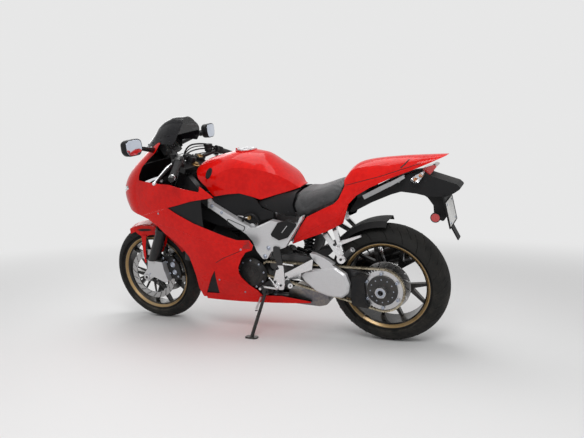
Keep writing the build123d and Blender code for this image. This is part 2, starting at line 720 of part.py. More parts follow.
tank += lid_disc(RING_R, CAP_TOP - CAP_DEEP - 20, CAP_TOP - 6)
tank -= lid_disc(CAP_R + CAP_GAP, CAP_TOP - CAP_DEEP, CAP_TOP + 20)
for y0, y1 in ((-LUG_HALF - 4, -LUG_HALF - SEAT_GAP), (LUG_HALF + SEAT_GAP, LUG_HALF + 4)):
    ear = hinge_rod(LUG_R, y0, y1)
    ear += Pos(CAP_HINGE[0], (y0 + y1) / 2, CAP_TOP - 6) * Box(2 * LUG_R, y1 - y0, 14)
    tank += ear
tank += hinge_rod(CAP_PIN_R, -LUG_HALF - 4, LUG_HALF + 4)
NODES["fuel_tank"] = tank
cap = lid_disc(CAP_R, CAP_TOP - CAP_DEEP + SEAT_GAP, CAP_TOP)
cap += hinge_rod(LUG_R, -LUG_HALF, LUG_HALF)
cap += Pos(CAP_HINGE[0] - 8, 0, CAP_TOP - 1.5) * Box(12, 2 * LUG_HALF, 3)
cap -= hinge_rod(CAP_PIN_R + RUN_FIT, -20, 20)
NODES["fuel_cap"] = cap

# Rider seat on its own hull, with a black cover in front of it under the tank
SEAT = [
    (716, 690, 96, 722, 124, 762, 104, 774),
    (620, 680, 112, 740, 142, 790, 112, 802),
    (520, 672, 120, 745, 150, 808, 114, 820),
    (440, 668, 120, 745, 154, 814, 112, 825),
    (370, 676, 116, 752, 151, 812, 108, 823),
    (300, 696, 112, 775, 146, 826, 104, 838),
    (240, 716, 106, 800, 138, 844, 98, 857),
    (198, 736, 100, 822, 128, 858, 92, 869),
    (150, 756, 92, 845, 116, 880, 84, 893),
]
SEAT_LOW = [(424, 697, 6), (398, 690), (370, 696, 20), (282, 737, 20), (223, 762), (197, 785, 20),
            (167, 846)]
seat_hull = body(SEAT)
seat_cut = prism(
    [
        *raised(SEAT_LOW[:-1], SEAM), (170, 845), (175.5, 876), (175.5, 950), (430, 950), (430, 826), (424, 800, 20),
        (440, 757, 20),
    ],
    -260, 260,
)
NODES["rider_seat"] = seat_hull & seat_cut
cover_cut = prism(
    [
        (428, 697, 6), (444, 757, 20), (434, 800, 10), (434, 824), *raised(TANK_LOW[1:4], -SEAT_GAP),
        (650, 768, 6), (634, 750, 10), (540, 716, 20), (490, 700),
    ],
    40, 260,
)
front_cover = (seat_hull - body(SEAT, PANEL)) & cover_cut

# Seat cowl and tail sides share one hull
TAIL = [
    (500, 520, 110, 640, 149, 750, 138, 780),
    (400, 540, 112, 650, 149, 765, 138, 800),
    (250, 600, 110, 710, 149, 806, 126, 832),
    (200, 640, 106, 745, 143, 846, 108, 860),
    (165, 680, 102, 780, 134, 884, 94, 906),
    (140, 700, 100, 800, 130, 916, 84, 932),
    (110, 725, 98, 822, 124, 930, 82, 949),
    (60, 765, 96, 850, 118, 936, 82, 961),
    (0, 800, 92, 872, 112, 941, 80, 968),
    (-60, 835, 84, 892, 104, 947, 75, 972),
    (-130, 868, 74, 915, 90, 956, 66, 975),
    (-220, 905, 56, 940, 70, 968, 48, 976),
    (-340, 955, 22, 966, 32, 973, 24, 977),
]
tail_hull = body(TAIL)
tail_shell = tail_hull - body(TAIL, PANEL)
COWL_SEAM = [
    (-224, 981), (-206, 962), (-162, 936, 30), (-118, 919), (-60, 904), (5, 888), (84, 866),
    (167, 846),
]
cowl_cut = prism([*raised(COWL_SEAM, SEAM), (173, 874, 8), (173, 1010), (-224, 1010)], -260, 260)
NODES["seat_cowl"] = tail_shell & cowl_cut
tail_cut = prism(
    [
        (-337, 1010), (-337, 984), (-316, 972), (-218, 934), (-151, 910), (-65, 882, 20),
        (39, 838), (108, 800, 20), (150, 758), (190, 656, 8), (285, 610), (380, 577),
        (484, 536, 4), (459, 575), (418, 634), (381, 683, 6), *raised(SEAT_LOW[2:], -SEAM),
        *raised(COWL_SEAM[-2::-1], -SEAM), (-225, 1010),
    ],
    0.5, 260,
)
tail_side = tail_shell & tail_cut
NODES["tail_side_left"] = tail_side
NODES["tail_side_right"] = tail_shell & tail_cut.mirror(Plane.XZ)

# Black undertail with an arm down to the plate holder
UNDERTAIL_HALF = 60.0
ARM_HALF = 30.0
REFLECTOR = (-267.0, 685.0)
SIGNAL_ROOT = (-188.0, 880.0)
undertail = prism(
    [
        (100, 790), (39, 822), (-60, 864), (-150, 896), (-215, 905, 6), (-239, 884, 6),
        (-291, 866), (-364, 841, 14), (-386, 820, 10), (-352, 797, 10), (-312, 780),
        (-230, 782), (-175, 796, 30), (-100, 806, 30), (-50, 792), (50, 752), (150, 702),
        (172, 704), (124, 772),
    ],
    -UNDERTAIL_HALF, UNDERTAIL_HALF,
)
undertail += prism(
    [
        (-175, 802), (-222, 770, 20), (-248, 732, 10), (-250, 668, 16), (-296, 652, 10),
        (-316, 700), (-306, 772), (-310, 810),
    ],
    -ARM_HALF, ARM_HALF,
)
tail_rib = prism([(104, 786), (104, 836), (62, 850), (62, 800)], -150, 150)
undertail += tail_rib & body(TAIL, PANEL + SEAM)
undertail += drum(*REFLECTOR, 10, -82 + SEAT_GAP, 82 - SEAT_GAP)
undertail += drum(*SIGNAL_ROOT, 8, -72 + SEAT_GAP, 72 - SEAT_GAP)
holder_tilt = math.radians(10.0)
HOLDER_TOP = (-309.0, 786.0)
HOLDER_LONG = 160.0
PLATE = (184.0, 122.0, 2.0)
PLATE_DROP = 90.0


def down_holder(along, off):
    """A point at a distance down the holder's rear face and off it to the rear."""
    x = HOLDER_TOP[0] - along * math.sin(holder_tilt) - off * math.cos(holder_tilt)
    z = HOLDER_TOP[1] - along * math.cos(holder_tilt) + off * math.sin(holder_tilt)
    return (x, z)


holder = prism(
    [
        down_holder(0, 0), (*down_holder(HOLDER_LONG, 0), 3), (*down_holder(HOLDER_LONG, -7), 3),
        (*down_holder(0, -9), 3),
    ],
    -80, 80,
)
flap = prism([(-330, 632), (-364, 562), (-359, 558), (-322, 632)], -28, 28)
NODES["undertail"] = undertail + holder + flap
plate = prism(
    [
        down_holder(PLATE_DROP - PLATE[1] / 2, SEAT_GAP),
        down_holder(PLATE_DROP + PLATE[1] / 2, SEAT_GAP),
        down_holder(PLATE_DROP + PLATE[1] / 2, SEAT_GAP + PLATE[2]),
        down_holder(PLATE_DROP - PLATE[1] / 2, SEAT_GAP + PLATE[2]),
    ],
    -PLATE[0] / 2, PLATE[0] / 2,
)
NODES["licence_plate"] = plate

# Fairing hull: plan sections, each two bowed sides and a round nose
# Columns: height z, half width at the tail, at the waist, x and half width at the front, nose x
TAIL_X, WAIST_X = 420.0, 950.0
HULL = [
    (192, 78, 128, 1380, 76, 1450),
    (240, 96, 146, 1400, 92, 1470),
    (340, 140, 192, 1400, 122, 1492),
    (480, 176, 232, 1400, 152, 1505),
    (650, 190, 250, 1400, 176, 1527),
    (760, 190, 249, 1402, 185, 1568),
    (850, 186, 240, 1402, 184, 1570),
    (950, 176, 224, 1362, 166, 1504),
    (1080, 130, 176, 1232, 124, 1345),
    (1135, 100, 150, 1165, 106, 1270),
]


def plan(row, grow=0.0):
    """A closed plan section of the fairing at height z."""
    z, wt, ww, xf, wf, xn = row
    wt, ww, wf, xn = wt + grow, ww + grow, wf + grow, xn + grow
    return Wire([
        Line((TAIL_X, -wt, z), (TAIL_X, wt, z)),
        ThreePointArc((TAIL_X, wt, z), (WAIST_X, ww, z), (xf, wf, z)),
        ThreePointArc((xf, wf, z), (xn, 0, z), (xf, -wf, z)),
        ThreePointArc((xf, -wf, z), (WAIST_X, -ww, z), (TAIL_X, -wt, z)),
    ])


fairing_outer = Solid.make_loft([plan(row) for row in HULL])
floor_lift = [(row[0] + (PANEL if k == 0 else 0),) + row[1:] for k, row in enumerate(HULL)]
fairing_inner = Solid.make_loft([plan(row, -PANEL) for row in floor_lift])
fairing_shell = fairing_outer - fairing_inner

CHIN_SEAM = [(1386, 696), (1164, 756)]
LOWER_SEAM = [(705, 517), (814, 468), (865, 448, 20), (899, 420), (921, 399)]
# Screen sections, and the line where the screen stands in the cowl's rim
SCREEN = [
    (1085, 1040, 124, 1150, 108, 1196, 68, 1229),
    (1180, 1040, 121, 1150, 104, 1200, 60, 1232),
    (1262, 1040, 110, 1128, 92, 1180, 54, 1208),
    (1338, 1040, 88, 1094, 70, 1122, 42, 1138),
    (1404, 1040, 44, 1058, 34, 1072, 20, 1078),
]
SCREEN_WALL = 3.0
SCREEN_LINE = [(1239, 1103), (1330, 1090), (1420, 1066)]
RIM_DEEP = 12.0
upper_cut = prism(
    [
        *raised(CHIN_SEAM, SEAM), (1097, 771), (997, 796), (902, 809), (855, 816), (868, 828),
        (936, 874), (943, 844), (1011, 855, 20), (1084, 869), (1136, 883, 20), (1214, 886),
        (1334, 897), (1371, 902, 8), (1372, 927), (1353, 975, 30), (1312, 1014, 30), (1266, 1052, 30),
        *raised(SCREEN_LINE, -SEAM), (1640, 1066), (1640, 760), (1560, 738, 20),
    ],
    -300, 300,
)
rim_strip = prism(
    [*raised(SCREEN_LINE, -SEAM), *raised(SCREEN_LINE[::-1], -RIM_DEEP)], -300, 300
)
LAMP = [(34, 782), (92, 798), (168, 850), (158, 868), (96, 848), (34, 824)]
lamp = fairing_shell & front_prism(LAMP, 1300, 1640)
upper_cowl = (fairing_shell & upper_cut) + (fairing_outer & rim_strip)
upper_cowl -= body(SCREEN, -SEAM) & rim_strip
NODES["headlamps"] = both(lamp)
NODES["upper_cowl"] = upper_cowl - both(front_prism(LAMP, 1300, 1640))
side_cut = prism(
    [
        *raised(CHIN_SEAM, -SEAM), (1096, 721), (994, 675, 60), (898, 641), (805, 607),
        (740, 587, 20), (674, 587, 10), (656, 556), (667, 530), *raised(LOWER_SEAM, SEAM),
        (960, 352, 60), (1040, 236), (1052, 205, 10), (1073, 204), (1081, 260, 40), (1064, 351),
        (1063, 408, 60), (1070, 475), (1107, 527, 40), (1156, 567), (1213, 600), (1267, 644),
        (1331, 680),
    ],
    20, 300,
)
side_fairing = fairing_shell & side_cut
NODES["side_fairing_left"] = side_fairing
NODES["side_fairing_right"] = side_fairing.mirror(Plane.XZ)
lower_cut = prism(
    [
        (735, 481, 20), (767, 426, 30), (773, 392, 20), (767, 364, 20), (741, 322),
        (703, 281, 20), (683, 241), (570, 240), (422, 203), (422, 150), (1052, 150), (1051, 204),
        (1040, 235), (951, 238), *raised(LOWER_SEAM[::-1], -SEAM),
    ],
    0.5, 300,
)
chamber_room = Box(600, 2 * CHAMBER_HALF + 12, 60, align=(Align.MAX, Align.CENTER, Align.CENTER))
lower_fairing = (fairing_shell & lower_cut) - Pos(CHAMBER[1] + 10, 0, 200) * chamber_room
NODES["lower_fairing_left"] = lower_fairing
NODES["lower_fairing_right"] = lower_fairing.mirror(Plane.XZ)

screen_cut = prism(
    [
        (1118, 1300), (1118, 1229), (1104, 1170, 60), (1130, 1110, 40), (1150, 1085, 10),
        (1200, 1094), *raised(SCREEN_LINE, SEAT_GAP - RIM_DEEP), (1440, 1300),
    ],
    -300, 300,
)
NODES["windscreen"] = (body(SCREEN) - body(SCREEN, SCREEN_WALL)) & screen_cut

# Mirrors on short stalks from the nose
MIRROR = (1229.0, 375.0, 1112.0)
housing = Pos(*MIRROR) * Rot(0, 0, -8) * Box(46, 120, 86)
housing = fillet(housing.edges(), 20)
stalk = beam((1300, 84, 1056), (1240, 325, 1106), 30, 24, 24, 18)
NODES["mirrors"] = both(housing + (stalk - fairing_outer))

# Dashboard on a shelf across the cowl
dash = Pos(1264, 0, 1066) * Rot(0, 34, 0) * Box(24, 150, 84)
dash += prism([(1262, 1044), (1300, 1000), (1288, 996), (1248, 1036)], -20, 20)
shelf = prism([(1280, 1004), (1420, 976), (1420, 972), (1280, 1000)], -200, 200)
NODES["dashboard"] = dash + (shelf & fairing_inner)

# Black inner panels beside the engine and black covers under the tank
inner = prism(
    [
        (1110, 735), (934, 735), (914, 802), *raised(TANK_LOW[6:3:-1], -SEAT_GAP), (646, 780),
        (640, 766), (622, 742, 10), (560, 718), (560, 690), (640, 670), (700, 640), (690, 600),
        (900, 640), (1000, 672),
    ],
    SPAR_IN - 3.5, SPAR_IN - SEAT_GAP,
)
inner -= left_frame
liner_outer = Solid.make_loft([plan(row, -PANEL - SEAM) for row in floor_lift])
liner = liner_outer - Solid.make_loft([plan(row, -PANEL - 3) for row in floor_lift])
side_liner = liner & prism(
    [
        (1185, 762), (1165, 742), (1096, 704), (994, 658), (936, 632), (936, 818), (997, 812),
        (1097, 787),
    ],
    20, 300,
)
vent_liner = liner & prism([(900, 425), (935, 222), (1062, 222), (990, 350)], 20, 300)
knee_pad = prism(
    [
        (569, 605, 12), (518, 673, 12), (460, 690, 14), (408, 668, 12), (470, 594, 10),
        (519, 578, 10),
    ],
    SPAR_OUT + SEAT_GAP, SPAR_OUT + 12,
)
knee_pad = chamfer(knee_pad.faces().sort_by(Axis.Y)[-1].edges(), 4)
fairing_stay = (rod((940, 100, 590), (940, 300, 590), 9) & liner_outer) - engine
NODES["inner_panels"] = both(
    gather(inner, side_liner, vent_liner, knee_pad, front_cover, fairing_stay)
)

# Footrests
STEP_IN = SPAR_OUT + SEAT_GAP
step = prism(
    [
        (556, 546, 8), (522, 540, 8), (508, 424), (510, 340, 10), (520, 306, 8), (546, 304, 8),
        (582, 334, 8), (554, 412, 10), (538, 430), (562, 500),
    ],
    STEP_IN, STEP_IN + 8,
)
heel = prism(
    [
        (506, 398, 4), (481, 410, 4), (338, 486, 6), (350, 426, 6), (412, 404), (420, 372, 6),
        (506, 360, 4),
    ],
    STEP_IN, STEP_IN + 4,
)
step += heel
step += rod((500, STEP_IN + 2, 350), (448, STEP_IN + 72, 356), 13)
step += rod((560, STEP_IN + 14, 312), (640, STEP_IN + 14, 318), 6)
step += rod((560, STEP_IN + 4, 318), (560, STEP_IN + 18, 312), 9)
step += rod((640, STEP_IN + 10, 318), (640, STEP_IN + 48, 318), 7)
NODES["rider_steps"] = both(step)
STEP_HUB = (184.0, 188.0, 492.0)
hanger = prism([(340, 654, 6), (318, 616, 6), (236, 650, 6), (250, 700, 6)], 92, 170)
hanger = hanger & body(TAIL, PANEL + SEAM)
hanger += beam((306, 100, 632), (298, 100, 594), 14, 14, 30, 28)
hanger += beam((246, 100, 664), (240, 100, 622), 14, 14, 26, 26)
strut_a = beam((300, 100, 602), STEP_HUB, 14, 14, 28, 24)
strut_b = beam((242, 100, 630), (176, 184, 505), 14, 14, 24, 22)
finger = beam((214, 142, 556), (78, 182, 612), 12, 8, 22, 10)
finger += beam((216, 148, 550), (178, 184, 515), 12, 12, 26, 22)
peg = rod(STEP_HUB, (112, 214, 552), 12) + drum(STEP_HUB[0], STEP_HUB[2], 22, 178, 200)
NODES["passenger_steps"] = both(hanger + strut_a + strut_b + finger + peg)

# Grab rails, lamps and reflectors at the tail
grab = beam((74, 108, 790), (-14, 106, 832), 18, 18, 22, 22)
grab += beam((-6, 106, 829), (-64, 102, 855), 18, 18, 22, 20)
grab += beam((-56, 102, 850), (-130, 96, 888), 18, 16, 20, 16)
grab = grab - body(TAIL, -SEAT_GAP)
grab += rod((0, UNDERTAIL_HALF + SEAT_GAP, 822), (0, 106, 822), 8)
grab += rod((-100, UNDERTAIL_HALF + SEAT_GAP, 866), (-100, 98, 866), 8)
NODES["grab_rails"] = both(grab)
light = prism([(-205, 916), (-256, 932, 6), (-276, 926, 6), (-242, 886), (-222, 886)], -46, 46)
signal = prism(
    [(-150, 868, 6), (-190, 853, 8), (-218, 888, 8), (-224, 912, 6), (-182, 892, 8)], 72, 100
)
signal = chamfer(signal.faces().sort_by(Axis.Y)[-1].edges(), 3)
NODES["rear_signals"] = both(signal)
reflector = drum(*REFLECTOR, 23, 82, 89)
NODES["rear_lamps"] = gather(light - undertail, both(reflector))

# Side stand: pivot, leg and a pad that lies on the ground when the bike leans
STAND_PIVOT = (650.0, 152.0, 272.0)
SINK = (FRONT_CROWN + REAR_CROWN) / 2 * (1 - math.cos(math.radians(LEAN)))
FOOT_WORLD = (702.0, 274.0)
lean_sin, lean_cos = math.sin(math.radians(LEAN)), math.cos(math.radians(LEAN))


def unlean(x, y, z):
    """A point on the leaned bike, taken back to the upright one."""
    return (x, y * lean_cos - z * lean_sin, y * lean_sin + z * lean_cos)


def lean_point(x, y, z):
    """A point of the upright bike, leaned onto the stand."""
    return (x, y * lean_cos + z * lean_sin, -y * lean_sin + z * lean_cos)


PAD_THICK = 8.0
pad_low = Vector(*unlean(FOOT_WORLD[0], FOOT_WORLD[1], -SINK))
pad_up = Vector(*unlean(0, 0, 1))
pad = Plane(origin=pad_low, x_dir=(1, 0, 0), z_dir=pad_up) * extrude(
    RectangleRounded(70, 44, 14), amount=PAD_THICK
)
ankle = pad_low + pad_up * (PAD_THICK - 2)
pivot = Vector(*STAND_PIVOT)
STAND_LEG = (ankle - pivot).normalized()
STAND_FOLDED = Vector(-0.98, 0.12, -0.10).normalized()
STAND_AXIS = STAND_LEG.cross(STAND_FOLDED).normalized()
STAND_SWING = STAND_LEG.get_angle(STAND_FOLDED)
KNUCKLE_HALF = 9.0
STAND_PIN_R = 7.0


def on_pivot(offset):
    """A point along the stand's hinge, measured outwards from its middle."""
    return tuple(pivot + STAND_AXIS * offset)


knuckle = rod(on_pivot(-KNUCKLE_HALF), on_pivot(KNUCKLE_HALF), 19)
stand = pad + cone(STAND_PIVOT, tuple(ankle), KNUCKLE_HALF - 0.5, 10) + knuckle
stand -= rod(on_pivot(-40), on_pivot(40), STAND_PIN_R + RUN_FIT)
NODES["side_stand"] = stand
BRACKET_FACE = STAND_PIVOT[1] - 20.0
bracket = prism(
    [(678, 306, 10), (674, 252, 10), (628, 250, 10), (612, 290, 10), (630, 330)],
    ENGINE_HALF + SEAT_GAP, BRACKET_FACE,
)
bracket += rod(on_pivot(-26), on_pivot(KNUCKLE_HALF + 2), STAND_PIN_R)
bracket += rod(on_pivot(KNUCKLE_HALF + 1), on_pivot(KNUCKLE_HALF + 6), 11)
bracket += rod(on_pivot(-26), on_pivot(-KNUCKLE_HALF - 1), 14)
NODES["stand_bracket"] = bracket

BODIES = {
    "front_wheel": ["front_tyre", "front_rim", "front_discs"],
    "rear_wheel": ["rear_tyre", "rear_rim", "rear_disc", "rear_axle", "rear_sprocket"],
    "steering": [
        "front_axle", "fork_legs", "triple_clamps", "handlebars", "grips", "front_fender",
        "front_calipers",
    ],
    "stand": ["side_stand"],
    "tank_cap": ["fuel_cap"],
}


# Lean the bike onto its stand and put the origin under the middle of its box
def moved(part, shift):
    """The piece leaned about the ground line under the wheels, then shifted."""
    frame = Plane(origin=shift, x_dir=(1, 0, 0), z_dir=(0, lean_sin, lean_cos))
    solids = [solid.transform_shape(frame.reverse_transform) for solid in part.solids()]
    return solids[0] if len(solids) == 1 else Compound(solids)


boxes = [moved(part, (0, 0, 0)).bounding_box() for part in NODES.values()]
low = [min(getattr(b.min, c) for b in boxes) for c in "XYZ"]
high = [max(getattr(b.max, c) for b in boxes) for c in "XYZ"]
SHIFT = (-(low[0] + high[0]) / 2, -(low[1] + high[1]) / 2, -low[2])


def placed(x, y, z):
    """A point of the upright bike in the final frame."""
    return tuple(a + b for a, b in zip(lean_point(x, y, z), SHIFT))


os.makedirs("parts", exist_ok=True)
for name, part in NODES.items():
    export_step(moved(part, SHIFT), f"parts/{name}.step")
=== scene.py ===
import math

import bmesh
import bpy
from mathutils import Matrix, Vector
from mathutils.bvhtree import BVHTree


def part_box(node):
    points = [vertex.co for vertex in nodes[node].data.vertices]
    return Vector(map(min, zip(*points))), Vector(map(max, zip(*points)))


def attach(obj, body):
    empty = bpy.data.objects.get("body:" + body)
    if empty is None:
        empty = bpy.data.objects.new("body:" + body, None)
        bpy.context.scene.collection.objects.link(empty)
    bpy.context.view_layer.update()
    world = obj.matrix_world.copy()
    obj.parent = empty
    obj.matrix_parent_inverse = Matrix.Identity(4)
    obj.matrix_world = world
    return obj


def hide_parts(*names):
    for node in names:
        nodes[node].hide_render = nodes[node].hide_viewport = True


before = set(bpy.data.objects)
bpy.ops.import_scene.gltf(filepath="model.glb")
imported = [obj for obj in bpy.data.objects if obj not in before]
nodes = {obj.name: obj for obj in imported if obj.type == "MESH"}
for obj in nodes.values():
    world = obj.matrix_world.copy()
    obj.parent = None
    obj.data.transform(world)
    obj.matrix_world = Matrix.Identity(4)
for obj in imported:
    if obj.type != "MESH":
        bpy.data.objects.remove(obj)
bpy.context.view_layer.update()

# The upright motorcycle in millimetres: +X forward, +Y left, +Z up, origin on the ground under
# the rear axle. BIKE takes a point of it to the row frame.
LEAN = math.radians(10.0)
REAR_R, FRONT_R, WHEELBASE = 315.0, 300.0, 1460.0
RAKE, TRAIL = math.radians(25.5), 95.0
low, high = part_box("rear_tyre")
REAR_HUB = (low + high) / 2
TILT = Matrix.Rotation(-LEAN, 4, "X")
BIKE = Matrix.Translation(REAR_HUB) @ TILT @ Matrix.Scale(0.001, 4)
BIKE @= Matrix.Translation((0, 0, -REAR_R))
INTO_BIKE = BIKE.inverted()
GROUND = Matrix.Translation(REAR_HUB - TILT @ Vector((0, 0, REAR_R / 1000)))

# Camera, on the ground frame under the rear axle
EYE = Vector((-0.80746, 3.04264, 0.88764))
HEADING, DIP, ROLL = (math.radians(a) for a in (-65.57, 4.512, -1.069))
FOCAL_PX = 592.6
PHOTO_WIDE = 584
SENSOR = 36.0


# Shader tools
class Net:
    """A node tree with short ways to add to it."""

    def __init__(self, tree):
        self.tree = tree

    def put(self, kind, settings=None, **values):
        """A node with its settings; its named sockets take values or links."""
        node = self.tree.nodes.new("ShaderNode" + kind)
        for name, value in (settings or {}).items():
            setattr(node, name, value)
        for name, value in values.items():
            self.join(node.inputs[name.replace("_", " ")], value)
        return node

    def join(self, socket, value):
        """Links a socket to a value that varies, or sets a constant on it."""
        if isinstance(value, bpy.types.NodeSocket):
            self.tree.links.new(value, socket)
        else:
            socket.default_value = value

    def calc(self, operation, *values, kind="Math", **settings):
        """One step of arithmetic between sockets, numbers or vectors."""
        node = self.put(kind, {"operation": operation, **settings})
        for socket, value in zip(node.inputs, values):
            self.join(socket, value)
        return node.outputs[1 if operation in ("DOT_PRODUCT", "LENGTH") else 0]

    def product(self, *values):
        """All the values multiplied."""
        total = values[0]
        for value in values[1:]:
            total = self.calc("MULTIPLY", total, value)
        return total

    def blend(self, mask, a, b):
        """Two numbers or two colours mixed by a mask."""
        colour = any(
            v.type == "RGBA" if isinstance(v, bpy.types.NodeSocket) else isinstance(v, tuple)
            for v in (a, b)
        )
        node = self.put("Mix", {"data_type": "RGBA" if colour else "FLOAT"})
        first = 6 if colour else 2
        for k, value in ((0, mask), (first, a), (first + 1, b)):
            self.join(node.inputs[k], value)
        return node.outputs[2 if colour else 0]

    def ramp(self, value, low, high, start=0.0, end=1.0):
        """A number taken smoothly from one range to another."""
        return self.put(
            "MapRange", {"interpolation_type": "SMOOTHSTEP"}, Value=value, From_Min=low,
            From_Max=high, To_Min=start, To_Max=end,
        ).outputs["Result"]

    def noise(self, place, scale, detail, **values):
        """Noise over a place, or along a number."""
        line = place.type == "VALUE"
        values["W" if line else "Vector"] = place
        settings = {"noise_dimensions": "1D" if line else "3D"}
        return self.put("TexNoise", settings, Scale=scale, Detail=detail, **values).outputs["Fac"]


def effect(name, inputs, outputs):
    """An empty node group; inputs are names and defaults, None for a vector."""
    made = bpy.data.node_groups.new(name, "ShaderNodeTree")
    for title, value in inputs.items():
        kind = "NodeSocketVector" if value is None else "NodeSocketFloat"
        socket = made.interface.new_socket(name=title, in_out="INPUT", socket_type=kind)
        if value is not None:
            socket.default_value = value
    for title in outputs:
        kind = "NodeSocketVector" if title == "Normal" else "NodeSocketFloat"
        made.interface.new_socket(name=title, in_out="OUTPUT", socket_type=kind)
    given, out = (made.nodes.new("NodeGroup" + end) for end in ("Input", "Output"))
    return Net(made), given.outputs, out.inputs


def grain_effect():
    """Fine uneven texture: a height for bump and a tone for colour and roughness."""
    net, given, out = effect(
        "fine_grain", {"Vector": None, "Scale": 1.0, "Detail": 4.0}, ("Height", "Tone")
    )
    fine = net.noise(given["Vector"], given["Scale"], given["Detail"])
    broad = net.noise(given["Vector"], net.product(given["Scale"], 0.13), 3.0)
    net.join(out["Height"], fine)
    net.join(out["Tone"], net.ramp(net.product(net.calc("ADD", fine, broad), 0.5), 0.36, 0.64))
    return net.tree


def dust_effect():
    """Road dust: on upward faces, thicker towards the ground, in uneven patches."""
    net, given, out = effect("road_dust", {"Vector": None, "Amount": 0.3}, ("Mask",))
    place = net.put("SeparateXYZ", Vector=given["Vector"]).outputs
    facing = net.put("SeparateXYZ", Vector=net.put("NewGeometry").outputs["Normal"]).outputs
    near = net.ramp(place["Z"], 80.0, 620.0, 1.0, 0.12)
    upward = net.ramp(facing["Z"], 0.1, 1.0, 0.25, 1.0)
    uneven = net.ramp(net.noise(given["Vector"], 0.012, 6.0, Roughness=0.7), 0.38, 0.7)
    mask = net.product(near, upward, uneven)
    net.join(out["Mask"], net.calc("MULTIPLY", mask, given["Amount"], use_clamp=True))
    return net.tree


def edge_effect():
    """Softened edges: a normal that rounds them and a mask where they are rubbed bright."""
    net, given, out = effect("worn_edges", {"Vector": None, "Radius": 0.001}, ("Mask", "Normal"))
    eased = net.put("Bevel", {"samples": 4}, Radius=given["Radius"]).outputs["Normal"]
    flat = net.put("NewGeometry").outputs["Normal"]
    rub = net.ramp(net.calc("DOT_PRODUCT", eased, flat, kind="VectorMath"), 0.99, 0.8)
    patch = net.ramp(net.noise(given["Vector"], 0.06, 5.0), 0.4, 0.65)
    net.join(out["Mask"], net.product(rub, patch))
    net.join(out["Normal"], eased)
    return net.tree


GRAIN, DUST, EDGES = grain_effect(), dust_effect(), edge_effect()
DUST_COLOUR = (0.33, 0.29, 0.24)


class Finish(Net):
    """A material being made: its colour, roughness, metal and height grow layer by layer."""

    def __init__(self, name, colour, rough, metal=0.0, coat=0.0, level=0.5):
        self.made = bpy.data.materials.new(name)
        self.made.use_nodes = True
        super().__init__(self.made.node_tree)
        self.tree.nodes.clear()
        self.shader = self.put("BsdfPrincipled", Specular_IOR_Level=level)
        self.put("OutputMaterial", Surface=self.shader.outputs["BSDF"])
        self.colour, self.rough, self.metal, self.coat = (*colour, 1.0), rough, metal, coat
        self.coord = self.put("TexCoord").outputs
        self.place = self.put(
            "Mapping", Vector=self.coord["Object"], Location=INTO_BIKE.translation,
            Rotation=INTO_BIKE.to_euler(), Scale=(1000.0, 1000.0, 1000.0),
        ).outputs["Vector"]
        split = self.put("SeparateXYZ", Vector=self.place).outputs
        self.x, self.y, self.z = (split[n] for n in "XYZ")
        self.normal = None

    def use(self, group, **values):
        """A shared effect placed in this material."""
        node = self.put("Group", {"node_tree": group})
        for name, value in values.items():
            self.join(node.inputs[name], value)
        return node.outputs

    def cover(self, mask, colour=None, rough=None, metal=None, coat=None):
        """Another finish laid over this one where the mask is."""
        colour = (*colour, 1.0) if colour else None
        layers = {"colour": colour, "rough": rough, "metal": metal, "coat": coat}
        for name, value in layers.items():
            if value is not None:
                setattr(self, name, self.blend(mask, getattr(self, name), value))
        return self

    def edges(self, radius=1.0, colour=None, rough=None):
        """Edges softened by a radius in mm, and rubbed to another colour."""
        wear_and_sheen = self.use(EDGES, Vector=self.place, Radius=radius / 1000)
        self.normal = wear_and_sheen["Normal"]
        return self.cover(wear_and_sheen["Mask"], colour, rough)

    def grained(self, scale, depth, tone=None, rough=None, detail=4.0, stretch=None):
        """Grain at so many cells per mm: bump in mm deep, tone to another colour and roughness."""
        place = self.place
        if stretch:
            place = self.put("Mapping", Vector=place, Scale=stretch).outputs["Vector"]
        grain = self.use(GRAIN, Vector=place, Scale=scale, Detail=detail)
        return self.cover(grain["Tone"], tone, rough).bump(grain["Height"], depth)

    def bump(self, height, depth):
        """Relief of a depth in mm from a height."""
        bump = self.put("Bump", Height=height, Strength=1.0, Distance=depth / 1000)
        if self.normal:
            self.join(bump.inputs["Normal"], self.normal)
        self.normal = bump.outputs["Normal"]
        return self

    def dusty(self, amount):
        """Road dust over what is there."""
        mask = self.use(DUST, Vector=self.place, Amount=amount)["Mask"]
        return self.cover(mask, DUST_COLOUR, 0.75, coat=0.0 if self.coat else None)

    def radius(self, x, z):
        """Distance from an axle across the bike."""
        dx, dz = self.calc("SUBTRACT", self.x, x), self.calc("SUBTRACT", self.z, z)
        return self.calc("SQRT", self.calc("ADD", self.product(dx, dx), self.product(dz, dz)))

    def facing(self, ahead):
        """The cosine between the surface and a way."""
        return self.calc("DOT_PRODUCT", self.coord["Normal"], ahead, kind="VectorMath")

    def close(self, **constants):
        """Puts the layers into the shader and returns the material."""
        layers = {
            "Base Color": self.colour, "Roughness": self.rough, "Metallic": self.metal,
            "Coat Weight": self.coat,
        }
        for name, value in (layers | constants).items():
            self.join(self.shader.inputs[name.replace("_", " ")], value)
        if self.normal:
            self.join(self.shader.inputs["Normal"], self.normal)
        return self.made


# Finishes
DARK, SOOT, RUBBED = (0.012, 0.012, 0.013), (0.008, 0.008, 0.009), (0.05, 0.05, 0.052)


def red_gloss(name="red_gloss", centre=None):
    """Clear-coated red with faint orange peel; bare black on faces that look at a centre."""
    paint = Finish(name, (0.60, 0.002, 0.001), 0.30, coat=0.42, level=0.06).edges(1.2)
    paint.grained(0.05, 0.006, (0.72, 0.006, 0.003), 0.27, 2.0)
    if centre:
        place = paint.coord["Object"]
        away = paint.calc("SUBTRACT", place, BIKE @ Vector(centre), kind="VectorMath")
        paint.cover(paint.ramp(paint.facing(away), -0.004, -0.012), SOOT, 0.5, coat=0.0)
    return paint.dusty(0.015).close(Coat_IOR=1.42, Coat_Roughness=0.06)


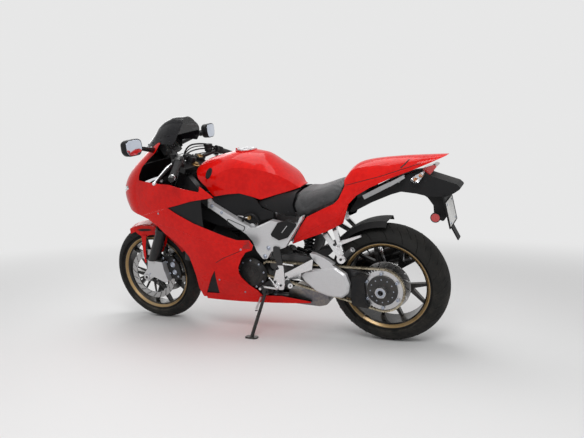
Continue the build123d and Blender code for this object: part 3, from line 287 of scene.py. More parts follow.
def satin_silver(name="satin_silver"):
    """Silver lacquer on cast alloy, with a fine cast skin."""
    cast = Finish(name, (0.60, 0.60, 0.61), 0.36, 0.45, 0.3).edges(1.2, (0.72, 0.72, 0.73), 0.28)
    return cast.grained(1.6, 0.02, (0.56, 0.56, 0.575), 0.42)


def frame_silver():
    """Silver spars that are black where they run up inside the fairing."""
    spar = satin_silver("frame_silver")
    return spar.cover(spar.ramp(spar.x, 934.0, 938.0), DARK, 0.5, 0.1).dusty(0.12).close()


def swingarm_silver():
    """Silver outside, with painted shade inside the chain line, where the arm lies in shadow."""
    arm = satin_silver("swingarm_silver")
    # painted shade: the inner side of the silver arm is darkened where it lies in shadow behind
    # the chain
    inner = arm.ramp(arm.y, 132.0, 136.0, 1.0, 0.0)
    return arm.cover(inner, (0.035, 0.035, 0.037), 0.45, 0.3).dusty(0.5).close()


def moulded_black(name="moulded_black", rough=0.55):
    """Moulded black plastic with an even grain."""
    plastic = Finish(name, (0.006, 0.006, 0.007), rough, level=0.22).edges(0.8)
    return plastic.grained(1.4, 0.06, (0.011, 0.011, 0.012), rough + 0.12)


def black_lacquer(name="black_lacquer", rough=0.30):
    """Black lacquer over metal, rubbed bright at a few edges."""
    lacquer = Finish(name, (0.005, 0.005, 0.006), rough, coat=0.35, level=0.2)
    return lacquer.edges(1.0, RUBBED, 0.4).grained(0.7, 0.02, (0.009, 0.009, 0.010), rough + 0.1)


def machined(name="machined_steel", colour=(0.56, 0.56, 0.57), rough=0.28, stain=0.86):
    """Bare steel with fine tool marks and darker stains."""
    darker = tuple(stain * v for v in colour)
    steel = Finish(name, colour, rough, 1.0).edges(0.6)
    return steel.grained(1.6, 0.006, darker, rough + 0.12, stretch=(1.0, 3.0, 1.0))


def rail_silver():
    """Bright lacquered rails, with painted shade: black on the faces that look down."""
    rail = machined("rail_silver", (0.50, 0.50, 0.51), 0.24, 0.9)
    # painted shade: faces that look down are darkened to black, as if in shadow
    under = rail.ramp(rail.facing((0, 0, 1)), -0.05, -0.35)
    return rail.cover(under, DARK, 0.45, 0.0).dusty(0.1).close()


def hanger_alloy():
    """Bright step plates on a hanger that is black above them."""
    hanger = machined("hanger_alloy", (0.74, 0.74, 0.75), 0.24, 0.92)
    above, ahead = hanger.ramp(hanger.z, 440.0, 442.0), hanger.ramp(hanger.x, 490.0, 493.0)
    return hanger.cover(hanger.product(above, ahead), DARK, 0.45, 0.0).dusty(0.15).close()


def wheel_black(name, x, radius, half):
    """Black lacquered cast wheel with a bronze stripe round each flange."""
    wheel = black_lacquer(name, 0.26)
    away = wheel.radius(x, radius)
    stripe = wheel.product(
        wheel.ramp(away, 213.0, 213.5), wheel.ramp(away, 227.5, 228.0, 1.0, 0.0),
        wheel.ramp(wheel.calc("ABSOLUTE", wheel.y), half - 14.0, half - 13.0),
    )
    return wheel.cover(stripe, (0.36, 0.235, 0.10), 0.3, 0.75).dusty(0.55).close()


def fork_leg_coat():
    """Black slider between a bare silver cast foot and a bright tube."""
    leg = black_lacquer("fork_leg_coat", 0.28)
    foot = leg.ramp(leg.calc("ADD", leg.product(leg.x, -0.10), leg.z), 262.0, 264.0, 1.0, 0.0)
    leg.cover(foot, (0.56, 0.56, 0.57), 0.34, 0.7, 0.2)
    leg.cover(leg.ramp(leg.z, 640.0, 646.0), (0.42, 0.42, 0.44), 0.14, 1.0)
    return leg.dusty(0.35).close()


def sprocket_steel():
    """Silver toothed ring round a black hub plate."""
    ring = machined("sprocket_steel", (0.62, 0.62, 0.63), 0.26)
    hub = ring.ramp(ring.radius(0.0, REAR_R), 78.6, 79.0, 1.0, 0.0)
    return ring.cover(hub, (0.016, 0.016, 0.017), 0.4, 0.2).dusty(0.5).close()


def brake_steel():
    """Stainless brake ring: turned marks, painted shade on the hole walls and edges, and a dark
    carrier inside.
    """
    ring = Finish("brake_steel", (0.50, 0.49, 0.48), 0.22, 1.0)
    front = ring.ramp(ring.x, 700.0, 701.0)
    radius = ring.blend(front, ring.radius(0.0, REAR_R), ring.radius(WHEELBASE, FRONT_R))
    marks = ring.noise(radius, 1.6, 4.0)
    ring.cover(marks, (0.34, 0.34, 0.345), 0.42).bump(marks, 0.02)
    side = ring.facing((BIKE.to_3x3() @ Vector((0, 1, 0))).normalized())
    # painted shade: faces that do not look sideways, the hole walls and ring edges, are darkened
    ring.cover(ring.ramp(ring.calc("ABSOLUTE", side), 0.75, 0.5), (0.02, 0.018, 0.016), 0.7, 0.2)
    rear = ring.calc("SUBTRACT", 1.0, front)
    inside = ring.product(ring.ramp(radius, 92.5, 93.5, 1.0, 0.0), rear)
    return ring.cover(inside, DARK, 0.45, 0.0).close()


def tyre_rubber(name, x, radius):
    """Black rubber: moulding rings on the walls, a scrubbed grey crown and caught dust."""
    rubber = Finish(name, (0.007, 0.007, 0.007), 0.62, level=0.2)
    away = rubber.radius(x, radius)
    rubber.grained(0.9, 0.12, (0.012, 0.012, 0.011), 0.78)
    wall = rubber.ramp(away, radius - 22.0, radius - 34.0)
    rubber.bump(rubber.product(wall, rubber.noise(away, 0.45, 2.0)), 0.25)
    crown = rubber.product(rubber.ramp(away, radius - 16.0, radius - 3.0), 0.6)
    return rubber.cover(crown, (0.024, 0.023, 0.022), 0.9).dusty(0.25).close()


def seat_vinyl():
    """Black grained vinyl, with a painted sheen: a little greyer along the top, as if lit."""
    hide = Finish("seat_vinyl", (0.017, 0.017, 0.018), 0.42)
    cells = hide.put("TexVoronoi", {"feature": "DISTANCE_TO_EDGE"}, Vector=hide.place, Scale=0.55)
    hide.grained(0.05, 0.05, (0.026, 0.026, 0.028), 0.5)
    hide.bump(hide.ramp(cells.outputs["Distance"], 0.0, 0.16), 0.18)
    # painted sheen: the top of the cushion is made greyer, standing in for light on it
    wear_and_sheen = hide.product(hide.ramp(hide.z, 806.0, 838.0), 0.45)
    return hide.cover(wear_and_sheen, (0.06, 0.06, 0.063), 0.5).close(Sheen_Weight=0.25, Sheen_Roughness=0.4)


def heated_steel():
    """Stainless pipes, straw-coloured where they run hot."""
    pipe = Finish("heated_steel", (0.27, 0.25, 0.225), 0.30, 1.0)
    hot = pipe.product(pipe.ramp(pipe.x, 700.0, 1050.0), 0.8)
    pipe.cover(hot, (0.26, 0.18, 0.10), 0.3).grained(0.08, 0.02, (0.16, 0.16, 0.18), 0.42)
    return pipe.dusty(0.5).close()


def smoked_screen():
    """Dark see-through screen with a black printed border low down."""
    screen = Finish("smoked_screen", (0.008, 0.008, 0.010), 0.09, level=0.25)
    line = screen.calc("ADD", screen.product(screen.x, 0.16), screen.z)
    border = screen.ramp(line, 1322.0, 1325.0, 1.0, 0.0)
    return screen.grained(0.02, 0.004, rough=0.13).close(Alpha=screen.blend(border, 0.74, 1.0))


def clear_lens():
    """Clear moulded lens with soft flutes."""
    lens = Finish("clear_lens", (0.90, 0.92, 0.95), 0.03, coat=0.6)
    lens.bump(lens.noise(lens.place, 0.02, 1.0), 0.05)
    return lens.close(Transmission_Weight=1.0, IOR=1.3)


def red_lens():
    """Deep red moulded lens with a fine prism pattern."""
    lens = Finish("red_lens", (0.62, 0.015, 0.015), 0.12, coat=1.0)
    cells = lens.put(
        "TexVoronoi", {"distance": "CHEBYCHEV"}, Vector=lens.place, Scale=0.22, Randomness=0.0
    ).outputs["Distance"]
    return lens.cover(cells, (0.22, 0.004, 0.006)).bump(cells, 0.6).close()


red = red_gloss()
silver = satin_silver().dusty(0.12).close()
polished = machined("polished_alloy", (0.80, 0.80, 0.81), 0.22, 0.94).dusty(0.1).close()
plastic = moulded_black().dusty(0.25).close()
gloss_plastic = moulded_black("gloss_moulding", 0.3).dusty(0.15).close()
lacquer = black_lacquer().dusty(0.3).close()
steel = machined().dusty(0.15).close()
bolt_steel = machined("bolt_steel", (0.42, 0.45, 0.52), 0.25).close()
black_bolt = machined("black_bolt", (0.05, 0.05, 0.053), 0.3).close()
bronze = machined("bronze_fitting", (0.42, 0.27, 0.12), 0.3).close()
disc_steel = brake_steel()
chain_steel = Finish("oiled_chain", (0.54, 0.48, 0.36), 0.32, 1.0).grained(
    0.12, 0.02, (0.20, 0.17, 0.12), 0.5).dusty(0.2).close()
vinyl = seat_vinyl()
cast = Finish("cast_black", (0.009, 0.009, 0.010), 0.42, level=0.25).edges(1.5, RUBBED, 0.4)
cast = cast.grained(0.8, 0.12, (0.015, 0.015, 0.016), 0.55).dusty(0.4).close()
lens = clear_lens()
enamel = Finish("white_enamel", (0.78, 0.78, 0.76), 0.36, coat=0.3).edges(0.8).grained(
    0.05, 0.02, (0.72, 0.72, 0.70), 0.45).dusty(0.5).close()
mirror = Finish("mirror_glass", (0.62, 0.66, 0.74), 0.03, 1.0).grained(
    0.02, 0.01, (0.56, 0.60, 0.68), 0.06).close()
rubber = Finish("grip_rubber", (0.02, 0.02, 0.021), 0.72).grained(
    1.6, 0.1, (0.032, 0.032, 0.033), 0.85).close()
dark_red = Finish("dark_red_mesh", (0.20, 0.004, 0.004), 0.4, coat=0.3).grained(
    0.5, 0.05, rough=0.5).close()
dial_black = Finish("dial_black", SOOT, 0.35).grained(1.0, 0.01, rough=0.5).close()
display = Finish("display_grey", (0.05, 0.06, 0.055), 0.08, coat=1.0).grained(
    0.4, 0.01, (0.035, 0.042, 0.04)).close()
amber = Finish("amber_bulb", (0.62, 0.20, 0.03), 0.15, coat=0.8).grained(
    0.3, 0.02, (0.50, 0.14, 0.02)).close()
front_rubber = tyre_rubber("front_tyre_rubber", WHEELBASE, FRONT_R)
rear_rubber = tyre_rubber("rear_tyre_rubber", 0.0, REAR_R)

DRESSED = {
    "fuel_tank seat_cowl": red,
    "front_fender": red_gloss("fender_red", (WHEELBASE, 0, FRONT_R)),
    "tail_side_left tail_side_right": red_gloss("tail_red", (150, 0, 800)),
    "upper_cowl side_fairing_left side_fairing_right lower_fairing_left lower_fairing_right":
        red_gloss("cowl_red", (1080, 0, 760)),
    "grab_rails": rail_silver(),
    "frame_left frame_right": frame_silver(),
    "swingarm": swingarm_silver(),
    "rider_steps": hanger_alloy(),
    "passenger_steps fuel_cap": polished,
    "chain_cover hugger undertail mirrors dashboard inner_panels": plastic,
    "front_rim": wheel_black("front_wheel_black", WHEELBASE, FRONT_R, 48.0),
    "rear_rim": wheel_black("rear_wheel_black", 0.0, REAR_R, 75.0),
    "steering_head rear_caliper radiator muffler triple_clamps handlebars front_calipers "
    "side_stand stand_bracket": lacquer,
    "fork_legs": fork_leg_coat(),
    "rear_axle front_axle": steel,
    "front_discs rear_disc": disc_steel,
    "rear_sprocket": sprocket_steel(),
    "exhaust_pipes": heated_steel(),
    "drive_chain": chain_steel,
    "front_tyre": front_rubber,
    "rear_tyre": rear_rubber,
    "grips": rubber,
    "rider_seat": vinyl,
    "engine_block engine_covers": cast,
    "windscreen": smoked_screen(),
    "headlamps rear_signals": lens,
    "rear_lamps": red_lens(),
    "licence_plate": enamel,
}
for names, finish in DRESSED.items():
    for name in names.split():
        nodes[name].data.materials.clear()
        nodes[name].data.materials.append(finish)


# Mesh tools; shapes are made in bike millimetres
def fresh(count):
    """Empty meshes to build in."""
    return [bmesh.new() for _ in range(count)]


def at(x, y, z):
    """A point or a way."""
    return Vector((x, y, z))


def spin(degrees, axis="Y"):
    """A turn about an axis through the origin."""
    return Matrix.Rotation(math.radians(degrees), 4, axis)


def circle(count, radius, centre, start=0.0):
    """Points round an axle across the bike; start is in degrees."""
    turns = [math.radians(start + 360 * k / count) for k in range(count)]
    return [Vector(centre) + radius * at(math.cos(t), 0, math.sin(t)) for t in turns]


def ease(bm, edges, width, segments=2):
    """Rounds some edges."""
    bmesh.ops.bevel(
        bm, geom=list(edges), offset=width, offset_type="OFFSET", segments=segments, profile=0.5,
        affect="EDGES", material=-1, clamp_overlap=True,
    )


def sharp(bm, before=(), angle=40.0):
    """The sharp edges of the faces made since some were there."""
    return [
        e for e in bm.edges if len(e.link_faces) == 2 and e.link_faces[0] not in before
        and e.calc_face_angle(0) > math.radians(angle)
    ]


def shift(bm, before, matrix):
    """Moves the points made since some were there."""
    made = [v for v in bm.verts if v not in before]
    bmesh.ops.transform(bm, matrix=matrix, verts=made)


def heading(way):
    """The turn that takes +Z onto a way."""
    return Vector(way).to_track_quat("Z", "Y").to_matrix().to_4x4()


def facing(a, b):
    """A placing that takes +Z onto the line from a to b, at its middle, and the line's length."""
    a, b = Vector(a), Vector(b)
    return Matrix.Translation((a + b) / 2) @ heading(b - a), (b - a).length


def block(bm, centre, size, round_off=2.0, turn=Matrix(), segments=2):
    """A rounded block."""
    place = Matrix.Translation(centre) @ turn @ Matrix.Diagonal((*size, 1))
    made = bmesh.ops.create_cube(bm, size=1.0, matrix=place)
    ease(bm, {e for v in made["verts"] for e in v.link_edges}, round_off, segments)


def rod(bm, a, b, r1, r2=None, sides=20, round_off=0.0):
    """A round bar or cone between two points."""
    place, long = facing(a, b)
    before = set(bm.faces)
    bmesh.ops.create_cone(
        bm, cap_ends=True, cap_tris=False, segments=sides, radius1=r1,
        radius2=r1 if r2 is None else r2, depth=long, matrix=place,
    )
    if round_off:
        ease(bm, sharp(bm, before, 60.0), round_off)


def turned(bm, rows, spot, way, sides=32):
    """A profile of radius, height rows spun about a way, with height 0 at the spot."""
    before = set(bm.verts)
    verts = [bm.verts.new((r, 0, h)) for r, h in rows]
    edges = [bm.edges.new(pair) for pair in zip(verts, verts[1:])]
    bmesh.ops.spin(
        bm, geom=verts + edges, cent=(0, 0, 0), axis=(0, 0, 1), dvec=(0, 0, 0),
        angle=2 * math.pi, steps=sides, use_merge=True, use_duplicate=False,
    )
    shift(bm, before, Matrix.Translation(spot) @ heading(way))


def extrude(bm, faces, way):
    """Grows faces along a way."""
    grown = bmesh.ops.extrude_face_region(bm, geom=faces, use_keep_orig=True)["geom"]
    lifted = [g for g in grown if isinstance(g, bmesh.types.BMVert)]
    bmesh.ops.translate(bm, verts=lifted, vec=way)


def plate(bm, rows, y0, y1, round_off=0.0, segments=2):
    """A side-view outline of x, z rows extruded across the bike."""
    before = set(bm.faces)
    extrude(bm, [bm.faces.new([bm.verts.new((x, y0, z)) for x, z in rows])], (0, y1 - y0, 0))
    if round_off:
        ease(bm, sharp(bm, before, 15.0), round_off, segments)


def rounded(rows, radius, steps=5):
    """An outline with rounded corners, for a plate."""
    points = [Vector(row) for row in rows]
    out = []
    for k, corner in enumerate(points):
        a, b = points[k - 1] - corner, points[(k + 1) % len(points)] - corner
        reach = min(radius, 0.45 * a.length, 0.45 * b.length)
        a, b = corner + a.normalized() * reach, corner + b.normalized() * reach
        for t in (j / steps for j in range(steps + 1)):
            out.append((a * (1 - t) ** 2 + corner * 2 * t * (1 - t) + b * t**2)[:])
    return out


def spring(bm, a, b, radius, wire, turns):
    """A coil spring between two points."""
    before = set(bm.verts)
    place, long = facing(a, b)
    start = Matrix.Translation((radius, 0, -long / 2)) @ spin(90, "X")
    verts = bmesh.ops.create_circle(
        bm, cap_ends=True, segments=8, radius=wire, matrix=start)["verts"]
    geom = list({g for v in verts for g in (*v.link_faces, *v.link_edges)}) + verts
    steps = 18 * turns
    bmesh.ops.spin(
        bm, geom=geom, cent=(0, 0, 0), axis=(0, 0, 1), dvec=(0, 0, long / steps),
        angle=2 * math.pi * turns, steps=steps, use_duplicate=False,
    )
    shift(bm, before, place)


def bolt(bm, spot, way, radius, sides=12):
    """A cap screw with a round socket; way is where its head faces."""
    high = 0.8 * radius
    rows = [(0, 0.35), (0.45, 0.35), (0.52, 1), (0.85, 1), (1, 0.78)]
    rows = [(radius * r, high * h) for r, h in rows] + [(radius, -1.5), (0, -1.5)]
    turned(bm, rows, spot, way, sides)


def side_bolts(bm, y, radius, rows):
    """Screws at x, z rows on both sides, facing outwards."""
    for side in (-1, 1):
        for x, z in rows:
            bolt(bm, (x, y * side, z), (0, side, 0), radius)


def twin(bm):
    """Adds the mirror image across the centre plane."""
    before = set(bm.verts)
    bmesh.ops.duplicate(bm, geom=[*bm.verts, *bm.edges, *bm.faces])
    shift(bm, before, Matrix.Diagonal((1, -1, 1, 1)))


def kept(bm, name):
    """The points as a mesh."""
    mesh = bpy.data.meshes.new(name)
    bm.to_mesh(mesh)
    bm.free()
    return mesh


def show(name, data):
    """An object in the scene."""
    held = bpy.data.objects.new(name, data)
    bpy.context.scene.collection.objects.link(held)
    return held


def piece(bm, name, finish, body="chassis", stands_for=(), smooth=38.0, merge=0.01):
    """Closes a mesh, moves it to the row frame and makes it a piece of the motorcycle."""
    bmesh.ops.remove_doubles(bm, verts=bm.verts, dist=merge)
    bmesh.ops.recalc_face_normals(bm, faces=bm.faces)
    bmesh.ops.transform(bm, matrix=BIKE, verts=bm.verts)
    mesh = kept(bm, name)
    mesh.shade_smooth()
    mesh.set_sharp_from_angle(angle=math.radians(smooth))
    mesh.materials.append(finish)
    held = show(name, mesh)
    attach(held, body)
    if stands_for:
        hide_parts(*stands_for)


def baked(held):
    """The object's mesh with its modifiers applied in place."""
    bpy.context.view_layer.update()
    seen = held.evaluated_get(bpy.context.evaluated_depsgraph_get())
    mesh = bpy.data.meshes.new_from_object(seen)
    held.modifiers.clear()
    held.data = mesh
    return mesh


def cut_away(bm, cutters):
    """The first mesh less the second."""
    made = []
    for name, part in (("cut_base", bm), ("cut_tool", cutters)):
        bmesh.ops.remove_doubles(part, verts=part.verts, dist=0.001)
        bmesh.ops.recalc_face_normals(part, faces=part.faces)
        made.append(show(name, kept(part, name)))
    cut = made[0].modifiers.new("cut", "BOOLEAN")
    cut.operation, cut.object, cut.solver = "DIFFERENCE", made[1], "EXACT"
    result = bmesh.new()
    result.from_mesh(baked(made[0]))
    for held in made:
        bpy.data.objects.remove(held)
    return result


def pipe(name, points, radius, finish, body="chassis"):
    """A bent rigid pipe along a smooth line."""
    line = bpy.data.curves.new(name, "CURVE")
    line.dimensions = "3D"
    line.bevel_depth = radius / 1000
    line.bevel_resolution = 3
    line.use_fill_caps = True
    spline = line.splines.new("NURBS")
    spline.points.add(len(points) - 1)
    for point, spot in zip(spline.points, points):
        point.co = (*(BIKE @ Vector(spot)), 1.0)
    spline.order_u = 3
    spline.use_endpoint_u = True
    line.materials.append(finish)
    held = show(name, line)
    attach(held, body)


# Wheels
TREAD_STEPS = 300


def tyre(name, x, radius, width, crown, half, body, finish):
    """A tyre with curved tread grooves; its carcass profile is spun and the grooves pressed in."""
    shoulder, bead = width / 2, half - 6.0
    edge = radius - crown + math.sqrt(crown**2 - (shoulder - 1) ** 2) - 1
    fall = math.sqrt(crown**2 - shoulder**2)
    rows = []
    for y in (shoulder * (k / 8 - 1) for k in range(17)):
        share = (math.sqrt(max(crown**2 - y**2, 0)) - fall) / (crown - fall)
        rows.append((edge + (radius - edge) * share, y))
    wall = [
        (edge - 7, shoulder + 0.2), (edge - 9, shoulder - 0.6), (249, shoulder - 3.5),
        (247.5, shoulder - 3.9), (241, bead + 2.2), (236, bead + 1.2), (233.5, bead - 0.5),
        (221, bead), (221, bead - 9), (242, bead - 7), (edge - 6, shoulder - 10),
        (radius - 12, shoulder * 0.5),
    ]
    outline = rows + wall + [(radius - 9, 0)] + [(r, -y) for r, y in wall[::-1]]
    bm = bmesh.new()
    turned(bm, [*outline, outline[0]], (0, 0, 0), (0, 1, 0), TREAD_STEPS)
    bmesh.ops.remove_doubles(bm, verts=bm.verts, dist=0.05)
    bmesh.ops.recalc_face_normals(bm, faces=bm.faces)
    bm.faces.ensure_lookup_table()
    grooves = []
    for f in bm.faces:
        spot = f.calc_center_median()
        if math.hypot(spot.x, spot.z) < edge + 0.5:
            continue
        step = int((math.atan2(spot.z, spot.x) / (2 * math.pi) % 1.0) * TREAD_STEPS)
        share = abs(spot.y) / shoulder
        phase = step % 15 if spot.y > 0 else (step + 7) % 15
        if (phase == 0 and 0.10 < share < 0.72) or (phase == 6 and 0.38 < share < 0.95):
            grooves.append(f)
    bmesh.ops.inset_region(
        bm, faces=grooves, thickness=0.7, depth=-3.2, use_boundary=True, use_even_offset=False,
    )
    for v in bm.verts:
        if math.hypot(v.co.x, v.co.z) > edge - 14:
            share = min(abs(v.co.y) / shoulder, 1.0)
            v.co = spin(-16.0 * share**1.4) @ v.co
    bmesh.ops.translate(bm, verts=bm.verts, vec=(x, 0, radius))
    piece(bm, name, finish, body, stands_for=(name[:-6],), smooth=30.0)


def drilled_ring(radius, ring, thick, groups, pitch):
    """A braking ring about the origin, its axis along Y, drilled in slanted rows of holes."""
    bm, tools = fresh(2)
    inner, half = radius - ring, thick / 2
    turned(bm, [
        (inner, -half), (radius - 0.6, -half), (radius, -half + 0.6), (radius, half - 0.6),
        (radius - 0.6, half), (inner, half), (inner, -half),
    ], (0, 0, 0), (0, 1, 0), 96)
    for k in range(groups):
        for j in range(pitch):
            turn = 2 * math.pi * (k + 0.62 * j / pitch) / groups
            away = inner + 6 + (ring - 12) * j / (pitch - 1)
            spot = away * at(math.cos(turn), 0, math.sin(turn))
            rod(tools, spot - at(0, thick, 0), spot + at(0, thick, 0), 3.9, sides=10)
    return cut_away(bm, tools)


def place_copy(bm, source, move):
    """Adds a copy of a kept mesh, moved."""
    before = set(bm.verts)
    bm.from_mesh(source)
    shift(bm, before, move)


def discs():
    """Drilled braking rings, their carriers and the bobbins that hold them."""
    ring = kept(drilled_ring(155.0, 34.0, 5.0, 20, 4), "ring")
    rings, carrier, bobbins = fresh(3)
    for side in (-1, 1):
        spot, out = at(WHEELBASE, 66.0 * side, FRONT_R), at(0, side, 0)
        place_copy(rings, ring, Matrix.Translation(spot))
        rows = [(36, -13), (52, -13), (54, 2), (50, 4), (36, 4), (36, -13)]
        turned(carrier, rows, spot, out, 48)
        rows = [(122, -0.7), (153, -0.7), (153, 0.7), (122, 0.7), (122, -0.7)]
        turned(carrier, rows, spot, out, 64)
        for k in range(10):
            arm = Matrix.Translation(spot) @ spin(36 * (k + 0.5))
            rod(carrier, arm @ at(48, 0, 0), arm @ at(116, 0, 0), 8.0, 5.5, sides=10)
            rows = [(3, 3.4), (4.6, 3.4), (7.4, 3.2), (7.4, -3.2), (3, -3.4), (3, 3.4)]
            turned(bobbins, rows, arm @ at(118, 0, 0), out, 12)
            if k % 2:
                bolt(bobbins, arm @ at(44, 0, 0) + out * 4, out, 5.0)
    piece(rings, "front_disc_rings", disc_steel, "front_wheel", stands_for=("front_discs",))
    piece(carrier, "front_disc_carriers", lacquer, "front_wheel")
    piece(bobbins, "front_disc_bobbins", steel, "front_wheel")
    rear = drilled_ring(128.0, 34.0, 5.0, 16, 4)
    spot = at(0, 58.8, REAR_R)
    bmesh.ops.translate(rear, verts=rear.verts, vec=spot)
    turned(rear, [(40, -2), (62, -2), (62, 2), (40, 2), (40, -2)], spot, (0, 1, 0), 48)
    for k in range(6):
        block(rear, spot + spin(60 * k) @ at(78, 0, 0), (36, 4, 14), 1.0, spin(60 * k))
    piece(rear, "rear_disc_ring", disc_steel, "rear_wheel", stands_for=("rear_disc",))


# Chain and sprocket
CHAIN_PITCH = 15.875
CHAIN_Y = 127.0
TEETH = 44
REAR_PITCH_R, FRONT_PITCH_R = (CHAIN_PITCH / 2 / math.sin(math.pi / n) for n in (TEETH, 16))
REAR_SPROCKET, FRONT_SPROCKET = at(0, 0, REAR_R), at(625.9, 0, 397.0)
ACROSS = FRONT_SPROCKET - REAR_SPROCKET
CHAIN_LEAN = math.atan2(ACROSS.z, ACROSS.x)
CHAIN_TILT = math.acos((REAR_PITCH_R - FRONT_PITCH_R) / ACROSS.length)
CHAIN_RUN = math.sqrt(ACROSS.length**2 - (REAR_PITCH_R - FRONT_PITCH_R) ** 2)
REAR_ARC = 2 * (math.pi - CHAIN_TILT) * REAR_PITCH_R
FRONT_ARC = 2 * CHAIN_TILT * FRONT_PITCH_R
CHAIN_LOOP = 2 * CHAIN_RUN + REAR_ARC + FRONT_ARC


def on_chain(distance):
    """The point and the heading of the chain at a distance round its loop."""
    up, down = CHAIN_LEAN + CHAIN_TILT, CHAIN_LEAN - CHAIN_TILT

    def rear(turn):
        return REAR_SPROCKET + at(math.cos(turn), 0, math.sin(turn)) * REAR_PITCH_R

    def front(turn):
        return FRONT_SPROCKET + at(math.cos(turn), 0, math.sin(turn)) * FRONT_PITCH_R

    if distance < REAR_ARC:
        turn = up + distance / REAR_PITCH_R
        spot = rear(turn)
    elif distance < REAR_ARC + CHAIN_RUN:
        turn = down
        spot = rear(down).lerp(front(down), (distance - REAR_ARC) / CHAIN_RUN)
    elif distance < REAR_ARC + CHAIN_RUN + FRONT_ARC:
        turn = down + (distance - REAR_ARC - CHAIN_RUN) / FRONT_PITCH_R
        spot = front(turn)
    else:
        turn = up
        spot = rear(up).lerp(front(up), (CHAIN_LOOP - distance) / CHAIN_RUN)
    return spot, turn + math.pi / 2


def link_shape(y):
    """One pair of waisted link plates and its roller or pin."""
    bm = bmesh.new()
    flat = spin(90, "X") @ spin(15, "Z")
    for side in (-1, 1):
        before = set(bm.verts)
        verts = bmesh.ops.create_circle(
            bm, cap_ends=True, segments=12, radius=6.4, matrix=flat)["verts"]
        for v in verts:
            v.co.x += math.copysign(CHAIN_PITCH / 2, v.co.x)
            if abs(v.co.x) < 10:
                v.co.z *= 0.72
        extrude(bm, list({f for v in verts for f in v.link_faces}), (0, 1.9, 0))
        shift(bm, before, Matrix.Translation((0, side * y - 0.95, 0)))
    for x in (-CHAIN_PITCH / 2, CHAIN_PITCH / 2):
        rod(bm, (x, -4.2, 0), (x, 4.2, 0), 5.0, sides=8)
        if y > 7:
            rod(bm, (x, -9.6, 0), (x, 9.6, 0), 2.4, sides=6)
    return kept(bm, "link")


def chain():
    """The whole loop of inner and outer links, and the toothed edge that it runs on."""
    loop, teeth, bolts = fresh(3)
    count = 2 * round(CHAIN_LOOP / CHAIN_PITCH / 2)
    kinds = (link_shape(8.0), link_shape(5.6))
    for k in range(count):
        spot, turn = on_chain((k + 0.5) * CHAIN_LOOP / count)
        place = Matrix.Translation(spot + at(0, CHAIN_Y, 0)) @ spin(-math.degrees(turn))
        place_copy(loop, kinds[k % 2], place)
    piece(loop, "drive_chain_links", chain_steel, stands_for=("drive_chain",), merge=0.0001)
    for k in range(TEETH):
        turn = spin(-math.degrees(CHAIN_LEAN + CHAIN_TILT) - (k + 0.5) * 360 / TEETH)
        place = Matrix.Translation(at(0, CHAIN_Y, REAR_R) + turn @ at(106.8, 0, 0)) @ turn
        size = Matrix.Diagonal((14.6, 6.6, 9, 1))
        made = bmesh.ops.create_cube(teeth, size=1.0, matrix=place @ size)["verts"]
        tips = [v for v in made if (v.co - at(0, v.co.y, REAR_R)).length > 107]
        middle = sum((v.co for v in tips), Vector()) / 4
        back = Matrix.Translation(-middle)
        bmesh.ops.scale(teeth, vec=(0.4, 0.55, 0.4), space=back, verts=tips)
    piece(teeth, "sprocket_teeth", steel, "rear_wheel")
    for spot in circle(6, 90, (0, CHAIN_Y + 10.5, REAR_R), 30):
        bolt(bolts, spot, (0, 1, 0), 8.5)
    for spot in circle(12, 60, (0, 140.5, REAR_R)):
        rod(bolts, spot, spot + at(0, 2.5, 0), 3.2, sides=10)
    piece(bolts, "sprocket_bolts", bolt_steel, "rear_wheel")


# Rider seat
SWELL = 0.006


def padded_seat():
    """Vinyl cushion: the solid's skin remeshed, swollen a little as cloth and smoothed."""
    bm = bmesh.new()
    bm.from_mesh(nodes["rider_seat"].data)
    bmesh.ops.remove_doubles(bm, verts=bm.verts, dist=0.00002)
    held = show("rider_cushion", kept(bm, "rider_cushion"))
    remesh = held.modifiers.new("skin", "REMESH")
    remesh.mode, remesh.voxel_size = "VOXEL", 0.006
    baked(held)
    bm = bmesh.new()
    bm.from_mesh(held.data)
    for _ in range(3):
        bmesh.ops.smooth_vert(
            bm, verts=bm.verts, factor=0.5, use_axis_x=True, use_axis_y=True, use_axis_z=True)
    for v in bm.verts:
        v.co -= v.normal * 0.003
    bm.to_mesh(held.data)
    bm.free()
    rest = [v.co.copy() for v in held.data.vertices]
    cloth = held.modifiers.new("cloth", "CLOTH").settings
    cloth.use_pressure = True
    cloth.uniform_pressure_force = 4.0
    cloth.effector_weights.gravity = 0.0
    cloth.tension_stiffness = 30.0
    cloth.bending_stiffness = 2.0
    for k in range(1, 21):
        bpy.context.scene.frame_set(k)
    baked(held)
    bpy.context.scene.frame_set(1)
    for v, start in zip(held.data.vertices, rest):
        move = v.co - start
        if move.length > SWELL:
            v.co = start + move * (SWELL / move.length)
    held.data.materials.clear()
    held.data.materials.append(vinyl)
    held.data.shade_smooth()
    smooth = held.modifiers.new("smooth", "SUBSURF")
    smooth.levels = smooth.render_levels = 1
    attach(held, "chassis")
    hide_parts("rider_seat")


# Details that follow the skins of the solids
SIDES = {1: "left", -1: "right"}


def skin_of(names, side=1):
    """The outer surfaces of some CAD nodes, to set details on; a * stands for the side."""
    return [
        BVHTree.FromPolygons(
            [INTO_BIKE @ v.co for v in mesh.vertices], [p.vertices[:] for p in mesh.polygons]
        )
        for mesh in (nodes[name.replace("*", SIDES[side])].data for name in names.split())
    ]


def on_skin(skins, start, ahead):
    """The first point of the skins seen from a start, and its outward normal."""
    hits = [skin.ray_cast(Vector(start), Vector(ahead)) for skin in skins]
    hits = [hit for hit in hits if hit[0]]
    if not hits:
        return None, None
    spot, normal, *_ = min(hits, key=lambda hit: hit[3])
    return spot, -normal if normal.dot(Vector(ahead)) > 0 else normal


def side_spots(skins, rows, side):
    """Points and normals on the skins beside the bike for x, z rows."""
    found = [on_skin(skins, (x, 430 * side, z), (0, -side, 0)) for x, z in rows]
    return [(spot, normal) for spot, normal in found if spot]


